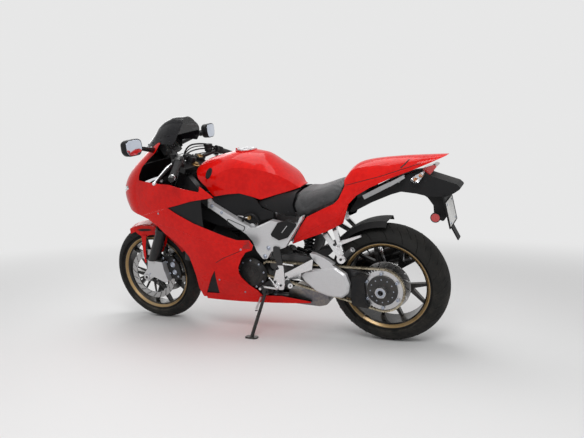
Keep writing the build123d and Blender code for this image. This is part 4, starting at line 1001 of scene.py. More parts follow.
def fasteners(name, table, finish, radius):
    """Cap screws set on both sides' skins; the table gives node names and their x, z rows."""
    bm = bmesh.new()
    wide = 1.35 * radius
    washer = [(0, 0.5), (1.05 * radius, 0.5), (wide, 0.1), (wide, -1), (0, -1)]
    for names, rows in table.items():
        for side in SIDES:
            for spot, normal in side_spots(skin_of(names, side), rows, side):
                turned(bm, washer, spot, normal, 14)
                bolt(bm, spot + normal * 0.4, normal, radius)
    piece(bm, name, finish)


def skin_line(bm, skins, rows, radius, side, pitch, flat, lift=0.0):
    """A thin rounded strip that follows a line over the skins."""
    points = []
    for (xa, za), (xb, zb) in zip(rows, rows[1:]):
        steps = max(1, round(math.hypot(xb - xa, zb - za) / pitch))
        points += [(xa + (xb - xa) * k / steps, za + (zb - za) * k / steps) for k in range(steps)]
    found = side_spots(skins, [*points, rows[-1]], side)
    for (a, na), (b, nb) in zip(found, found[1:]):
        if (b - a).length > 4 * pitch:
            continue
        a, b = a + na * lift, b + nb * lift
        way = (b - a).normalized()
        turn = Matrix((na.cross(way), na, way)).transposed().to_4x4()
        bmesh.ops.create_cone(
            bm, cap_ends=True, cap_tris=False, segments=8, radius1=radius, radius2=radius,
            depth=(b - a).length + radius * 0.5,
            matrix=Matrix.Translation((a + b) / 2) @ turn @ Matrix.Diagonal((1, flat, 1, 1)),
        )


# Cockpit: the dash's tilt, the bar and the clutch lever, on the left
DASH_TURN = spin(34)
DASH = Matrix.Translation((1264, 0, 1066)) @ DASH_TURN
GRIP_IN, GRIP_END = at(1062, 208, 1010), at(1018, 344, 952)
LEVER_ROOT, LEVER_TIP = at(1098, 218, 996), at(1140, 345, 915)
GRIP_TURN = (GRIP_END - GRIP_IN).to_track_quat("Z", "X").to_matrix().to_4x4()


def gauges():
    """Instrument cluster: hooded bezel, round dial with ticks and a needle, two dark displays."""
    bezel, hood, glass, face, marks = fresh(5)
    rear = DASH_TURN.to_3x3() @ at(-1, 0, 0)

    def slab(bm, spot, size, round_off, turn=Matrix(), segments=2):
        block(bm, DASH @ Vector(spot), size, round_off, DASH_TURN @ turn, segments)

    def dial(bm, rows, x, sides):
        turned(bm, rows, DASH @ at(x, 0, 6), rear, sides)

    slab(bezel, (-15, 0, 0), (8, 150, 86), 3.0)
    dial(bezel, [(31, -2), (31, 3.5), (34, 5), (37, 3), (37, -2), (31, -2)], -18, 40)
    slab(hood, (-24, 0, 46), (34, 156, 5), 2.4)
    for side in (-1, 1):
        slab(hood, (-20, side * 77, 8), (24, 4, 74), 1.8)
        slab(glass, (-19.6, 56 * side, 2), (2, 34, 62), 0.9)
    dial(face, [(0, 0), (31.5, 0), (31.5, -2), (0, -2)], -19.2, 40)
    for k in range(25):
        turn = spin(130 - 260 * k / 24, "X")
        long = 3.0 if k % 2 else 6.0
        spot = at(-19.6, 0, 6) + turn @ at(0, 0, 29.5 - long / 2)
        slab(marks, spot, (0.8, 0.9, long), 0.2, turn, 1)
    slab(marks, (-21.4, -10, -2), (0.8, 1.6, 27), 0.3, spin(-128, "X"), 1)
    dial(marks, [(0, 3), (3.4, 2.4), (4, 0), (0, 0)], -20.4, 16)
    piece(bezel, "gauge_bezel", gloss_plastic)
    piece(hood, "gauge_hood", plastic)
    piece(glass, "gauge_displays", display)
    piece(face, "gauge_dial", dial_black)
    piece(marks, "gauge_marks", enamel)


def ribs(start, pitch, count, low, high, flank, land):
    """Profile rows of ribs along a sleeve."""
    rows = []
    for h in (start + pitch * k for k in range(count)):
        rows += [(low, h), (high, h + flank), (high, h + land), (low, h + land + flank)]
    return rows


def controls():
    """Ribbed grips, switch boxes, polished levers, reservoirs and cables; all on the fork."""
    grips, boxes, bright, cups, caps = fresh(5)
    long = (GRIP_END - GRIP_IN).length * 0.90
    rows = [(11.6, 0.0), (19.5, 0.0), (20.5, 2.0), (19.5, 4.5)]
    rows += ribs(7, (long - 12) / 20, 20, 15.6, 17.2, 1.2, 3.6)
    rows += [(18.5, long - 3), (18.5, long), (11.6, long), (11.6, 0.0)]
    turned(grips, rows, GRIP_IN.lerp(GRIP_END, 0.14), GRIP_END - GRIP_IN, 28)
    for spot, size, round_off in (
        (GRIP_IN, (40, 44, 34), 6.0), (GRIP_IN + at(-17, 2, 8), (14, 12, 20), 2.5),
        (GRIP_IN + at(-18, 4, -12), (12, 14, 10), 2.5),
        (LEVER_ROOT + at(-14, -6, 4), (40, 34, 26), 5.0),
    ):
        block(boxes, spot, size, round_off, GRIP_TURN)
    knee = LEVER_ROOT.lerp(LEVER_TIP, 0.22) + at(10, 0, 2)
    rod(bright, LEVER_ROOT, knee, 9.6, 8.4, 14)
    rod(bright, knee, LEVER_TIP + at(1, 0, 1), 8.0, 6.8, 14)
    ball = [(0, 11), (6, 9.6), (10.4, 3), (11, 0), (10.4, -3), (6, -9.6), (0, -11)]
    turned(bright, ball, LEVER_TIP, LEVER_TIP - LEVER_ROOT, 20)
    bolt(bright, LEVER_ROOT + at(-2, 0, 11), (0.1, 0.1, 1), 6.5)
    rod(bright, GRIP_IN.lerp(GRIP_END, 1.05), GRIP_IN.lerp(GRIP_END, 1.10), 16.6, 17.0, 24)
    for bm in (grips, boxes, bright):
        twin(bm)
    piece(grips, "grip_sleeves", rubber, "steering", stands_for=("grips",))
    piece(boxes, "switch_boxes", plastic, "steering")
    piece(bright, "levers", polished, "steering")
    for x, y, z, r in ((1112, 176, 1030, 19.0), (1112, -176, 1034, 23.0)):
        cup = [(0, -26), (r - 3, -26), (r, -22), (r + 1, 10), (0, 10)]
        cap = [(0, 18), (r - 6, 18), (r + 1, 16), (r + 2.4, 13), (r + 2.4, 10), (0, 10)]
        turned(cups, cup, (x, y, z), (0, 0, 1), 28)
        turned(caps, cap, (x, y, z), (0, 0, 1), 28)
        for k in range(12):
            turn = spin(30 * k, "Z")
            block(caps, at(x, y, z + 12.5) + turn @ at(r + 2.4, 0, 0), (2, 3, 5), 0.5, turn, 1)
        rod(cups, (x, y, z - 20), (1100, math.copysign(196, y), 1004), 5.0, sides=10)
    for side in (-1, 1):
        rod(cups, (1106, 150 * side, 1014), (1094, 214 * side, 992), 13.0, 12.0, 18, 2.0)
        block(cups, (1102, 168 * side, 1012), (34, 30, 30), 5.0, GRIP_TURN)
    piece(cups, "reservoir_cups", plastic, "steering")
    for side, tag in SIDES.items():
        for k, (high, radius) in enumerate(((-12, 4.2), (4, 3.2), (18, 5.0))):
            pipe(f"bar_cable_{tag}_{k}", [
                (1072 - 3 * k, (204 - 6 * k) * side, 1014), (1092, 186 * side, 1028 + high),
                (1140 + high, (140 - 6 * k) * side, 1044 + high),
                (1188 + 0.4 * high, 82 * side, 1036 + high), (1214, 48 * side, 990),
                (1212 - 6 * k, 40 * side, 920),
            ], radius, gloss_plastic, "steering")
    piece(caps, "reservoir_caps", gloss_plastic, "steering")


def steering_parts():
    """Lock, fork caps, top nut, pipes, and the screws of yokes, calipers and fender."""
    caps, screws, lock, plates, ends, fender = fresh(6)
    leg_y, leg_ahead = 105, 43.4
    tip = spin(-math.degrees(RAKE))
    up, ahead = tip @ at(0, 0, 1), tip @ at(1, 0, 0)

    def fork(u, y, s):
        return at(WHEELBASE + TRAIL, y, 0) + ahead * u + up * s

    for side in (-1, 1):
        top = fork(leg_ahead, leg_y * side, 1078.5)
        rows = [(0, 6), (8, 6), (8, 2.4), (17, 2.4), (19.5, 0), (19.5, -3), (0, -3)]
        turned(caps, rows, top, up, 28)
        rod(caps, top + up * 2, top + up * 7, 8.5, sides=6)
        for s in (1045.0, 845.0, 832.0):
            bolt(screws, fork(leg_ahead - 36, leg_y * side + 8, s), -ahead, 5.5)
    spot = fork(34, 0, 1058)
    rows = [(0, 44), (12, 44), (14, 40), (23, 38), (25, 34), (25, 4), (30, 0), (0, 0)]
    turned(lock, rows, spot, up)
    block(lock, spot + up * 22 + ahead * 30, (34, 62, 26), 5.0, tip)
    block(lock, spot + up * 47, (3, 13, 12), 1.0, tip, 1)
    piece(lock, "ignition_lock", gloss_plastic, "steering")
    nut = fork(0, 0, 1060.5)
    turned(caps, [(0, 5), (12, 5), (15, 3), (24, 2), (24, -1), (0, -1)], nut, up)
    rod(caps, nut + up * 2, nut + up * 11, 15.0, sides=6)
    piece(caps, "fork_caps", bronze, "steering")
    side_bolts(plates, 91, 7.0, [(1372, 392), (1352, 412)])
    side_bolts(plates, 88.2, 6.0, [(1330, 388), (1318, 318), (1276, 402), (1262, 300)])
    side_bolts(plates, 127.4, 5.0, [(1438, 322), (1452, 296)])
    for side in (-1, 1):
        for x, z, r in ((1292, 372, 17), (1284, 326, 15)):
            rows = [(0, 2.2), (r - 6, 2.2), (r - 4, 0.6), (r - 2, 3.0), (r, 2.0), (r, -1), (0, -1)]
            turned(plates, rows, (x, 87.8 * side, z), (0, side, 0), 24)
        rows = [
            (9.2, 0), (9.2, 3), (17, 3), (19, 1.4), (19, -5), (12.6, -5), (12.6, 0), (9.2, 0),
        ]
        turned(ends, rows, (WHEELBASE, 132.5 * side, FRONT_R), (0, side, 0), 6)
        slot = [(1530, 578), (1500, 585), (1440, 586), (1420, 578), (1450, 572), (1500, 570)]
        plate(fender, slot, 71.2 * side, 73.6 * side, 0.8)
    piece(plates, "caliper_screws", bolt_steel, "steering")
    piece(screws, "clamp_screws", bolt_steel, "steering")
    piece(ends, "front_axle_nuts", steel, "steering")
    for side, tag in SIDES.items():
        pipe(f"brake_pipe_{tag}", [
            (1300, 92 * side, 418), (1296, 96 * side, 452), (1318, 120 * side, 500),
            (1292, 132 * side, 600), (1262, 118 * side, 690), (1232, 80 * side, 780),
            (1214, 60 * side, 836),
        ], 3.2, gloss_plastic, "steering")
        pipe(f"lever_pipe_{tag}", [
            (1098, 196 * side, 994), (1130, 168 * side, 1002), (1170, 110 * side, 1000),
            (1196, 62 * side, 960), (1200, 48 * side, 900), (1206, 46 * side, 862),
        ], 3.4, gloss_plastic, "steering")
    side_bolts(fender, 78.2, 4.6, [(1488, 400)])
    side_bolts(fender, 72.2, 4.6, [(1366, 470), (1490, 540)])
    piece(fender, "fender_slots", gloss_plastic, "steering")


# Mirrors and lamps
def mirrors():
    """Rounded housings on tapered stalks, raised rims and silvered glasses."""
    shell, rims, glass = fresh(3)
    line = [(-59, -16), (-56, 30), (-36, 43), (34, 43), (59, 30), (59, -20), (40, -43), (-38, -43)]
    place = Matrix.Translation((1229, 375, 1112)) @ spin(82, "Z")
    for bm, share, y0, y1, round_off, segments in (
        (shell, 0.99, -22, 17, 14, 5), (rims, 1.0, 8, 22, 3, 3), (glass, 0.90, 18, 23.4, 1.2, 3),
    ):
        outline = rounded([(share * x, share * z) for x, z in line], 20.0 * share)
        before = set(bm.verts)
        plate(bm, outline, y0, y1, round_off, segments)
        shift(bm, before, place)
    rod(shell, (1300, 84, 1056), (1284, 142, 1068), 18.5, 14.5, 24)
    rod(shell, (1290, 120, 1063), (1240, 325, 1106), 14.5, 10.5, 24)
    rows = [(0, -14), (15, -14), (18, -8), (18, 8), (14, 16), (0, 16)]
    turned(shell, rows, (1242, 318, 1104), (-4, 14, 3), 24)
    for bm in (shell, rims, glass):
        twin(bm)
    piece(shell, "mirror_shells", gloss_plastic, stands_for=("mirrors",), smooth=30.0)
    piece(rims, "mirror_rims", plastic)
    piece(glass, "mirror_glasses", mirror)


def lamp_bowls():
    """Bright bowls, projector eyes and a dark shroud behind the clear lamp lenses."""
    bowls, eyes, shroud = fresh(3)
    for side in (-1, 1):
        for x, y, z, r in ((1520, 66, 815, 21), (1494, 104, 828, 18), (1462, 134, 842, 14)):
            spot, way = (x, y * side, z), (0.93, 0.34 * side * y / 100, 0.02)
            bowl = [(r, 0), (r * 0.9, -9), (r * 0.62, -19), (r * 0.3, -24), (0, -25)]
            turned(bowls, bowl, spot, way, 28)
            turned(bowls, [(r, 0), (r + 2.5, 0.6), (r + 2.5, -4), (r, -3)], spot, way, 28)
            eye = [(0, -8), (r * 0.3, -9.4), (r * 0.5, -14), (r * 0.5, -22), (0, -22)]
            turned(eyes, eye, spot, way, 20)
        source = bmesh.new()
        source.from_mesh(nodes["headlamps"].data)
        source.transform(INTO_BIKE)
        other = [f for f in source.faces if f.calc_center_median().y * side < 0]
        bmesh.ops.delete(source, geom=other, context="FACES")
        bmesh.ops.remove_doubles(source, verts=source.verts, dist=0.02)
        back = Matrix.Translation((-58, -10 * side, 0))
        place_copy(shroud, kept(source, "shroud"), back)
    piece(bowls, "lamp_bowls", polished)
    piece(eyes, "lamp_eyes", lens)
    piece(shroud, "lamp_shrouds", gloss_plastic)


def tail_lights():
    """Bulbs and bright backs in the signals, reflector rims, plate frame, screws and lamp."""
    bulbs, backs, rims, screws, edging, lamp = fresh(6)
    for side in (-1, 1):
        for x, z, r in ((-178, 871, 9), (-203, 888, 8)):
            bulb = [(0, 9), (r * 0.6, 7.6), (r, 2), (r * 0.8, -5), (0, -7)]
            turned(bulbs, bulb, (x, 86 * side, z), (-0.3, side, 0), 18)
        back = [(-154, 869), (-190, 856), (-215, 888), (-220, 908), (-184, 889)]
        plate(backs, back, 72.6 * side, 75 * side, 0.5)
        rim = [(20.5, 0.4), (21.5, 2.2), (24, 1.6), (24.6, -8), (22.5, -8)]
        turned(rims, rim, (-267, 89 * side, 685), (0, side, 0), 36)
    turn = spin(10)
    rear = turn @ at(-1, 0, 0)

    def on_plate(y, down, out):
        return at(-309, y, 786) + turn @ at(-out, 0, -down)

    for y in (-62, 62):
        for down in (44, 136):
            bolt(screws, on_plate(y, down, 2.6), rear, 4.6)
    for down in (29, 151):
        block(edging, on_plate(0, down, 2.0), (5, 188, 4), 1.2, turn)
    for y in (-93, 93):
        block(edging, on_plate(y, 90, 2.0), (5, 4, 124), 1.2, turn)
    block(lamp, at(-312, 0, 792) + rear * 8, (26, 60, 16), 4.0, turn)
    piece(bulbs, "signal_bulbs", amber)
    piece(backs, "signal_backs", polished)
    piece(rims, "reflector_rims", gloss_plastic)
    piece(screws, "plate_screws", bolt_steel)
    piece(edging, "plate_frame", plastic)
    piece(lamp, "plate_lamp", plastic)


# Frame, panels and engine
def frame_dress():
    """Recess rims in black as painted shade, weld lines, screws and links on the spars, and hoses
    in the gap.
    """
    rims, seam, lines, screws, link, fit = fresh(6)
    loops = []
    for rows, radius in (
        ([(818, 690), (712, 646), (728, 618), (822, 657)], 9),
        ([(815, 685), (717.5, 645), (730, 621.5), (818.5, 659)], 8),
    ):
        rim = [rims.verts.new((x, 184.0, z)) for x, z in rounded(rows, radius)]
        loops += [rims.edges.new((a, b)) for a, b in zip(rim, rim[1:] + rim[:1])]
    extrude(rims, bmesh.ops.bridge_loops(rims, edges=loops)["faces"], (0, 3.2, 0))
    ease(rims, sharp(rims, (), 50.0), 0.8, 1)
    plate(seam, [(689, 651), (693, 652), (715, 622), (711, 620)], 184.4, 186.0, 0.4, 1)
    weld = rounded([(640, 640), (560, 676), (562, 681), (652, 646)], 2)
    plate(seam, weld, 184.4, 186.0, 0.4, 1)
    plate(lines, [(498.5, 622), (496, 620), (463, 658), (465.5, 660)], 196.6, 198.2, 0.4, 1)
    for x, z, r in (
        (588, 532, 8.5), (614, 485, 8.5), (548, 535, 6.0), (905, 758, 6.5), (850, 722, 6.0)
    ):
        rows = [(0, 0.4), (1.4 * r, 0.4), (1.55 * r, -0.4), (0, -0.4)]
        turned(screws, rows, (x, 185.2, z), (0, 1, 0), 20)
        bolt(screws, (x, 185.6, z), (0, 1, 0), r)
    rod(link, (512, 176, 580), (562, 180, 494), 7, 6, 14)
    rod(link, (512, 160, 580), (512, 184, 580), 12, 12, 20, 1.0)
    rod(link, (562, 160, 494), (562, 184, 494), 11, 11, 20, 1.0)
    for bm in (rims, seam, lines, screws, link):
        twin(bm)
    # painted shade: the raised rims round the spar recesses are black, standing in for the shade
    # of the recess walls
    piece(rims, "frame_recess_shade_rims", lacquer)
    piece(seam, "frame_weld_lines", polished)
    piece(lines, "knee_pad_lines", silver)
    piece(screws, "frame_screws", bolt_steel)
    piece(link, "frame_links", gloss_plastic)
    rod(fit, (700, 149, 690), (700, 162, 690), 13, 13, 6, 1.0)
    rod(fit, (700, 160, 690), (700, 171, 690), 8.5, 8.5, 16, 0.8)
    rod(fit, (742, 149, 664), (742, 158, 664), 8, 8, 6, 0.8)
    piece(fit, "hex_fittings", bronze)
    pipe("coolant_hose", [
        (742, 156, 664), (736, 172, 676), (712, 173, 706), (676, 168, 712), (650, 160, 690),
        (646, 152, 664),
    ], 6.5, gloss_plastic)
    pipe("vent_hose", [
        (700, 166, 690), (716, 176, 694), (745, 172, 702), (768, 156, 698), (776, 150, 690),
    ], 4.0, steel)


PANEL_LINES = (
    ("crease", "flank", [(1290, 664), (1130, 640), (960, 585), (800, 560), (690, 566)],
     2.6, 26, 0.4),
    ("crease", "belly", [(930, 352), (840, 330), (742, 296)], 2.4, 22, 0.4),
    ("crease", "rear", [(131, 925), (60, 936), (-54, 948)], 2.2, 14, 0.4),
    ("crease", "rear", [(455, 560), (330, 640), (200, 700), (120, 812), (20, 872), (-120, 915)],
     2.8, 16, 0.4),
    ("slot", "rear", [(172, 849), (93, 868), (-10, 891), (-109, 919), (-200, 944)], 1.5, 14, 0.5),
    ("slot", "rear", [(-112, 929), (-130, 944), (-146, 962)], 3.4, 7, 0.5),
    ("slot", "belly", [(916, 415), (898, 450)], 1.6, 10, 0.5),
    ("slot", "flank", [(898, 450), (843, 481), (778, 507), (733, 525)], 1.6, 14, 0.5),
    ("crease", "flank", [(858, 515), (813, 522), (808, 561), (851, 566)], 1.2, 12, 0.6),
    ("slot", "belly", [(1030, 300), (1000, 262), (960, 250)], 2.0, 12, 0.5),
)


def panel_details():
    """Creases, dark joints, screws and vent mesh on the panels, and the screen's screws."""
    drawn = {"crease": bmesh.new(), "slot": bmesh.new()}
    mesh, screws = fresh(2)
    for side in SIDES:
        skins = {
            "flank": skin_of("side_fairing_*", side), "belly": skin_of("lower_fairing_*", side),
            "rear": skin_of("tail_side_* seat_cowl", side),
        }
        for kind, where, rows, radius, pitch, flat in PANEL_LINES:
            skin_line(drawn[kind], skins[where], rows, radius, side, pitch, flat)
        for k in range(9):
            across = [(672 + 0.4 * k, 540 + 5 * k), (716 - 2.4 * k, 542 + 5 * k)]
            down = [(674 + 5 * k, 540), (674 + 5 * k, 584 - 4.2 * k)]
            for rows in (across, down):
                skin_line(mesh, skins["flank"], rows, 0.9, side, 12, 0.6, 0.2)
        rows = [(1170, 1103), (1240, 1110), (1310, 1101), (1372, 1086)]
        for spot, normal in side_spots(skin_of("windscreen"), rows, side):
            turned(screws, [(0, 0.3), (7.5, 0.3), (8, -0.6), (0, -0.6)], spot, normal, 16)
            bolt(screws, spot, normal, 4.6)
    piece(drawn["crease"], "panel_creases", red, smooth=50.0)
    piece(drawn["slot"], "panel_slots", gloss_plastic)
    fasteners("panel_screws", {
        "side_fairing_*": [(728, 534), (1240, 720)],
        "lower_fairing_*": [(910, 339), (778, 261), (520, 236), (953, 292)],
        "tail_side_*": [(470, 556)],
    }, bolt_steel, 4.2)
    fasteners("seat_cover_screws", {"inner_panels": [(882, 790), (600, 752), (470, 720)]},
              black_bolt, 4.0)
    piece(mesh, "vent_mesh", dark_red)
    piece(screws, "screen_screws", black_bolt)


def engine_dress():
    """Cover screws, ribs, radiator fins, tanks and hoses."""
    screws, ribbing, fins, tanks = fresh(4)
    crank = at(724, 0, 372)
    for side in (1, -1):
        out = at(0, side, 0)
        for spot in circle(9, 76, crank + out * 152, 12):
            rod(ribbing, spot - out * 14, spot + out * 4, 9.5, 8.5, 14, 0.8)
            bolt(screws, spot + out * 4, out, 5.4)
        centre = crank + out * 162
        ring = [(44, -1), (44, 2.4), (47, 3.4), (50, 2.4), (50, -1), (44, -1)]
        turned(ribbing, ring, centre, out, 48)
        turned(ribbing, [(0, 2.6), (18, 2.6), (20, 1), (20, -1), (0, -1)], centre, out, 36)
        middle = centre + out * 0.4
        for a, b in zip(circle(6, 22, middle, 30), circle(6, 42, middle, 30)):
            rod(ribbing, a, b, 2.2, sides=8)
    for k in range(7):
        block(ribbing, (820 + 24 * k, 0, 234), (8, 190, 12), 2.0)
    for k in range(8):
        block(ribbing, (905 - 5 * k, 0, 505 + 14 * k), (170 - 3 * k, 222, 4), 1.2)
    piece(ribbing, "engine_ribs", cast)
    piece(screws, "engine_screws", bolt_steel)
    turn = spin(-14)
    place = Matrix.Translation((1088, 0, 560)) @ turn
    for k in range(58):
        block(fins, place @ at(16.2, 0, -118 + 4.1 * k), (3.4, 296, 1.4), 0.3, turn, 1)
    for k in range(9):
        block(fins, place @ at(15.6, -144 + 36 * k, 0), (2.4, 3.0, 242), 0.4, turn, 1)
    for side in (-1, 1):
        block(tanks, place @ at(4, 158 * side, 0), (40, 24, 266), 7.0, turn)
        block(tanks, place @ at(4, 0, 128 * side), (36, 322, 12), 4.0, turn)
    rod(tanks, place @ at(6, 120, 128), place @ at(6, 120, 160), 22, 18, 24, 2.0)
    piece(fins, "radiator_fins", steel)
    piece(tanks, "radiator_tanks", lacquer)
    for side, tag in SIDES.items():
        pipe(f"radiator_hose_{tag}", [
            (1078, 130 * side, 460), (1056, 132 * side, 440), (1020, 120 * side, 452),
            (996, 104 * side, 480),
        ], 16.0, plastic)


def exhaust_dress():
    """Muffler cones, twin outlets with black discs inside as painted shade down the bores, straps,
    and clamps on the pipes.
    """
    cone, bore_shade, strap, clamp = fresh(4)
    inlet, outlet = at(300, -180, 300), at(-110, -205, 452)
    way = (outlet - inlet).normalized()
    turned(cone, [(67.5, -18), (68.5, 0), (66, 12), (58, 26), (46, 33), (0, 34)], outlet, way, 48)
    rows = [(53.4, 26), (53.4, 4), (50, -14), (36, -32), (24, -40), (0, -40)]
    turned(cone, rows, inlet, way, 40)
    for y, z in ((15, 15), (-15, -13)):
        spot = outlet + way * 30 + at(0, y, z)
        rows = [(15.5, 0), (15.5, 24), (17.6, 26), (18.4, 23), (18.4, 0)]
        turned(cone, rows, spot, way, 28)
        # painted shade: a black disc 10 mm inside each outlet stands in for the shade inside the
        # pipe
        turned(bore_shade, [(0, 10), (15.6, 10)], spot, way, 28)
    piece(cone, "muffler_cones", polished)
    piece(bore_shade, "muffler_bore_shade", black_bolt)
    for share in (0.12, 0.58, 0.90):
        spot = inlet.lerp(outlet, share)
        r = 52.4 + 14 * share
        rows = [(r - 2, -7), (r + 1.6, -7), (r + 2.4, -5), (r + 2.4, 5), (r + 1.6, 7), (r - 2, 7)]
        turned(strap, [*rows, rows[0]], spot, way, 48)
        bolt(strap, spot + at(0, 8, r + 1), (0, 0.2, 1), 5.0)
    rod(strap, inlet.lerp(outlet, 0.58) + at(0, 10, 60), (130, -150, 486), 9, 9, 14, 1)
    piece(strap, "muffler_straps", steel)
    for side in (-1, 1):
        for x in (640, 860):
            rows = [(15, -8), (18.2, -8), (18.2, 8), (15, 8), (15, -8)]
            turned(clamp, rows, (x, 45 * side, 215), (1, 0, 0), 24)
    rows = [(21, -9), (25, -9), (25, 9), (21, 9), (21, -9)]
    turned(clamp, rows, (360, -92, 226), (0, -1, 0), 28)
    piece(clamp, "pipe_clamps", bolt_steel)


def rear_suspension():
    """Shock absorber with its spring and linkage, and the splash plate behind it."""
    shock, coil, splash = fresh(3)
    top, low = at(398, 0, 662), at(436, 0, 452)
    way = (low - top).normalized()
    turned(shock, [
        (0, -6), (15, -6), (17, 0), (17, 26), (34, 28), (36, 32), (36, 38), (24, 40), (24, 120),
        (13, 122), (13, 176), (35, 178), (36, 184), (30, 190), (16, 192), (16, 216), (0, 216),
    ], top, low - top)
    rod(shock, low + at(4, -34, -6), low + at(4, 34, -6), 15, 15, 20, 1.5)
    for y in (-26, 26):
        rod(shock, (440, y, 446), (520, y, 470), 11, 11, 14, 1.0)
    rod(shock, top + at(60, -6, 10), top + at(66, -6, -96), 19, 19, 24, 4.0)
    piece(shock, "rear_shock", lacquer)
    spring(coil, top + way * 40, low - way * 34, 30.0, 5.2, 7)
    piece(coil, "rear_spring", black_bolt)
    line = [
        (318, 700), (338, 690), (362, 560), (388, 476), (380, 472), (352, 556), (328, 684),
        (314, 694),
    ]
    plate(splash, line, -84, 84, 1.2)
    rib = [(341, 676), (346, 676), (370, 560), (393, 484), (388, 482), (364, 556)]
    for y in (-60, -30, 0, 30, 60):
        plate(splash, rib, y - 3, y + 3, 0.8, 1)
    piece(splash, "splash_plate", plastic)


def step_details():
    """Ribbed rubbers and screws of the footrests, and the gear rod."""
    rubbers, screws, gear = fresh(3)
    for side in (1, -1):
        for a, b, count, start, low, high, land, sides in (
            ((494, 196, 350.8), (449, 256, 356), 8, 4, 13.4, 15.4, 3.6, 18),
            ((160, 198, 512), (113, 213, 551), 7, 2, 12.4, 14.2, 4.0, 16),
        ):
            a, b = (at(x, y * side, z) for x, y, z in (a, b))
            long = (b - a).length
            rows = [(0, 0)]
            for h in (start + (long - 2 * start) * k / count for k in range(count)):
                rows += [(low, h), (high, h + 1), (high, h + land + 1), (low, h + land + 2)]
            turned(rubbers, rows + [(low - 1.4, long + 1), (0, long + 2)], a, b - a, sides)
        rows = [(0, 0), (9, 0), (9.6, 2), (9.6, 22), (8, 25), (0, 25)]
        turned(rubbers, rows, (640, 207.3 * side, 318), (0, side, 0), 18)
    side_bolts(screws, 193.4, 7.5, [(545, 424), (566, 348)])
    side_bolts(screws, 193.4, 6.0, [(534, 330), (500, 376)])
    side_bolts(screws, 200, 7.0, [(184, 492)])
    side_bolts(screws, 172, 7.0, [(222, 560)])
    a, b = at(556, 207, 330), at(604, 176, 362)
    rod(gear, a, b, 4.0, sides=10)
    for spot in (a, b):
        turned(gear, [(0, 7), (5, 6), (7, 0), (5, -6), (0, -7)], spot, (0, 1, 0), 16)
    rod(gear, (512, 189, 352), (512, 189, 420), 3.2, sides=10)
    rod(gear, (508, 196, 452), (448, 196, 447), 5.0, sides=12)
    piece(rubbers, "footrest_rubbers", rubber)
    piece(screws, "footrest_screws", black_bolt)
    piece(gear, "gear_rod", polished)


def wheel_details():
    """Valve stems, hub seals and nuts, and the speed sensor's ring."""
    front, rear, seals, nuts, toothed = fresh(5)
    way = spin(-56) @ at(1, 0, 0)
    for bm, spot in ((front, at(WHEELBASE, 0, FRONT_R)), (rear, at(0, -10.2, REAR_R))):
        rod(bm, spot + way * 204, spot + way * 178, 4.2, 3.6, 12, 0.6)
        rod(bm, spot + way * 184, spot + way * 172, 4.8, 4.4, 10, 0.8)
    for side in (-1, 1):
        rows = [(13, 0.2), (28, 0.2), (31, -1.5), (31, -3), (13, -3), (13, 0.2)]
        turned(seals, rows, (WHEELBASE, 52.4 * side, FRONT_R), (0, side, 0), 36)
    for spot in circle(5, 44, (0, -78.5, REAR_R), 54):
        rod(nuts, spot, spot - at(0, 6, 0), 8, 7.4, 6, 0.8)
    rows = [(15, 0.4), (22, 0.4), (25.5, -1.6), (25.5, -6), (15, -6), (15, 0.4)]
    turned(nuts, rows, (0, 171.6, REAR_R), (0, 1, 0), 30)
    for k in range(48):
        turn = spin(7.5 * k)
        spot = at(WHEELBASE, 60.0, FRONT_R) + turn @ at(52.5, 0, 0)
        block(toothed, spot, (5, 3, 3.2), 0.3, turn, 1)
    piece(front, "front_valve", black_bolt, "front_wheel")
    piece(rear, "rear_valve", black_bolt, "rear_wheel")
    piece(seals, "front_hub_seals", gloss_plastic, "front_wheel")
    piece(nuts, "rear_hub_nuts", bolt_steel, "rear_wheel")
    piece(toothed, "speed_ring", steel, "front_wheel")


def stand_details():
    """The return spring along the stand's leg, and the pins that hold it."""
    coil, pins = fresh(2)
    base = at(650, 152, 272)
    low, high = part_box("side_stand")
    way = (INTO_BIKE @ ((low + high) / 2) - base).normalized()
    inward = way.cross(at(1, 0, 0)).normalized()
    start = base + way * 34 + at(15, 0, 0)
    spring(coil, start, start + way * 70, 5.2, 1.2, 14)
    piece(coil, "stand_spring", steel, "stand")
    for spot in (base + way * 30, base + way * 112):
        rod(pins, spot - inward * 8, spot + at(16, 0, 0), 3.2, sides=10)
    piece(pins, "stand_spring_pins", black_bolt, "stand")


def tank_details():
    """Filler ring screws, the cap's key cover and ring, and the bare badge places."""
    screws, key, badge = fresh(3)
    for k in range(6):
        spot = at(760, 0, 1032.2) + spin(60 * k + 30, "Z") @ at(54.5, 0, 0)
        bolt(screws, spot, (0, 0, 1), 3.4)
    piece(screws, "filler_screws", bolt_steel)
    block(key, (752, 0, 1039.4), (40, 15, 5), 2.2)
    rows = [(0, 2.4), (7, 2.4), (8.5, 1), (8.5, -1), (0, -1)]
    turned(key, rows, (766, 0, 1040), (0, 0, 1), 20)
    rows = [(30, 0.2), (44, 0.2), (46, 1.2), (47.4, 0.2), (47.4, -2), (30, -2), (30, 0.2)]
    turned(key, rows, (760, 0, 1038.6), (0, 0, 1), 48)
    piece(key, "cap_key_cover", steel, "tank_cap")
    for side in SIDES:
        spot, normal = on_skin(skin_of("fuel_tank"), (922, 400 * side, 930), (0, -side, 0))
        before = set(badge.verts)
        rows = [(0, 1.6), (20, 1.6), (24, 2.8), (28, 1.2), (28, -1.5), (0, -1.5)]
        turned(badge, rows, (0, 0, 0), (0, 0, 1), 36)
        oval = Matrix.Diagonal((0.75, 1.15, 1, 1))
        shift(badge, before, Matrix.Translation(spot) @ heading(normal) @ oval)
    piece(badge, "badge_places", gloss_plastic)


def seat_base():
    """A dark base under the front of the cushion."""
    base = bmesh.new()
    block(base, (446, 0, 756), (44, 226, 96), 12.0)
    piece(base, "seat_base", plastic)


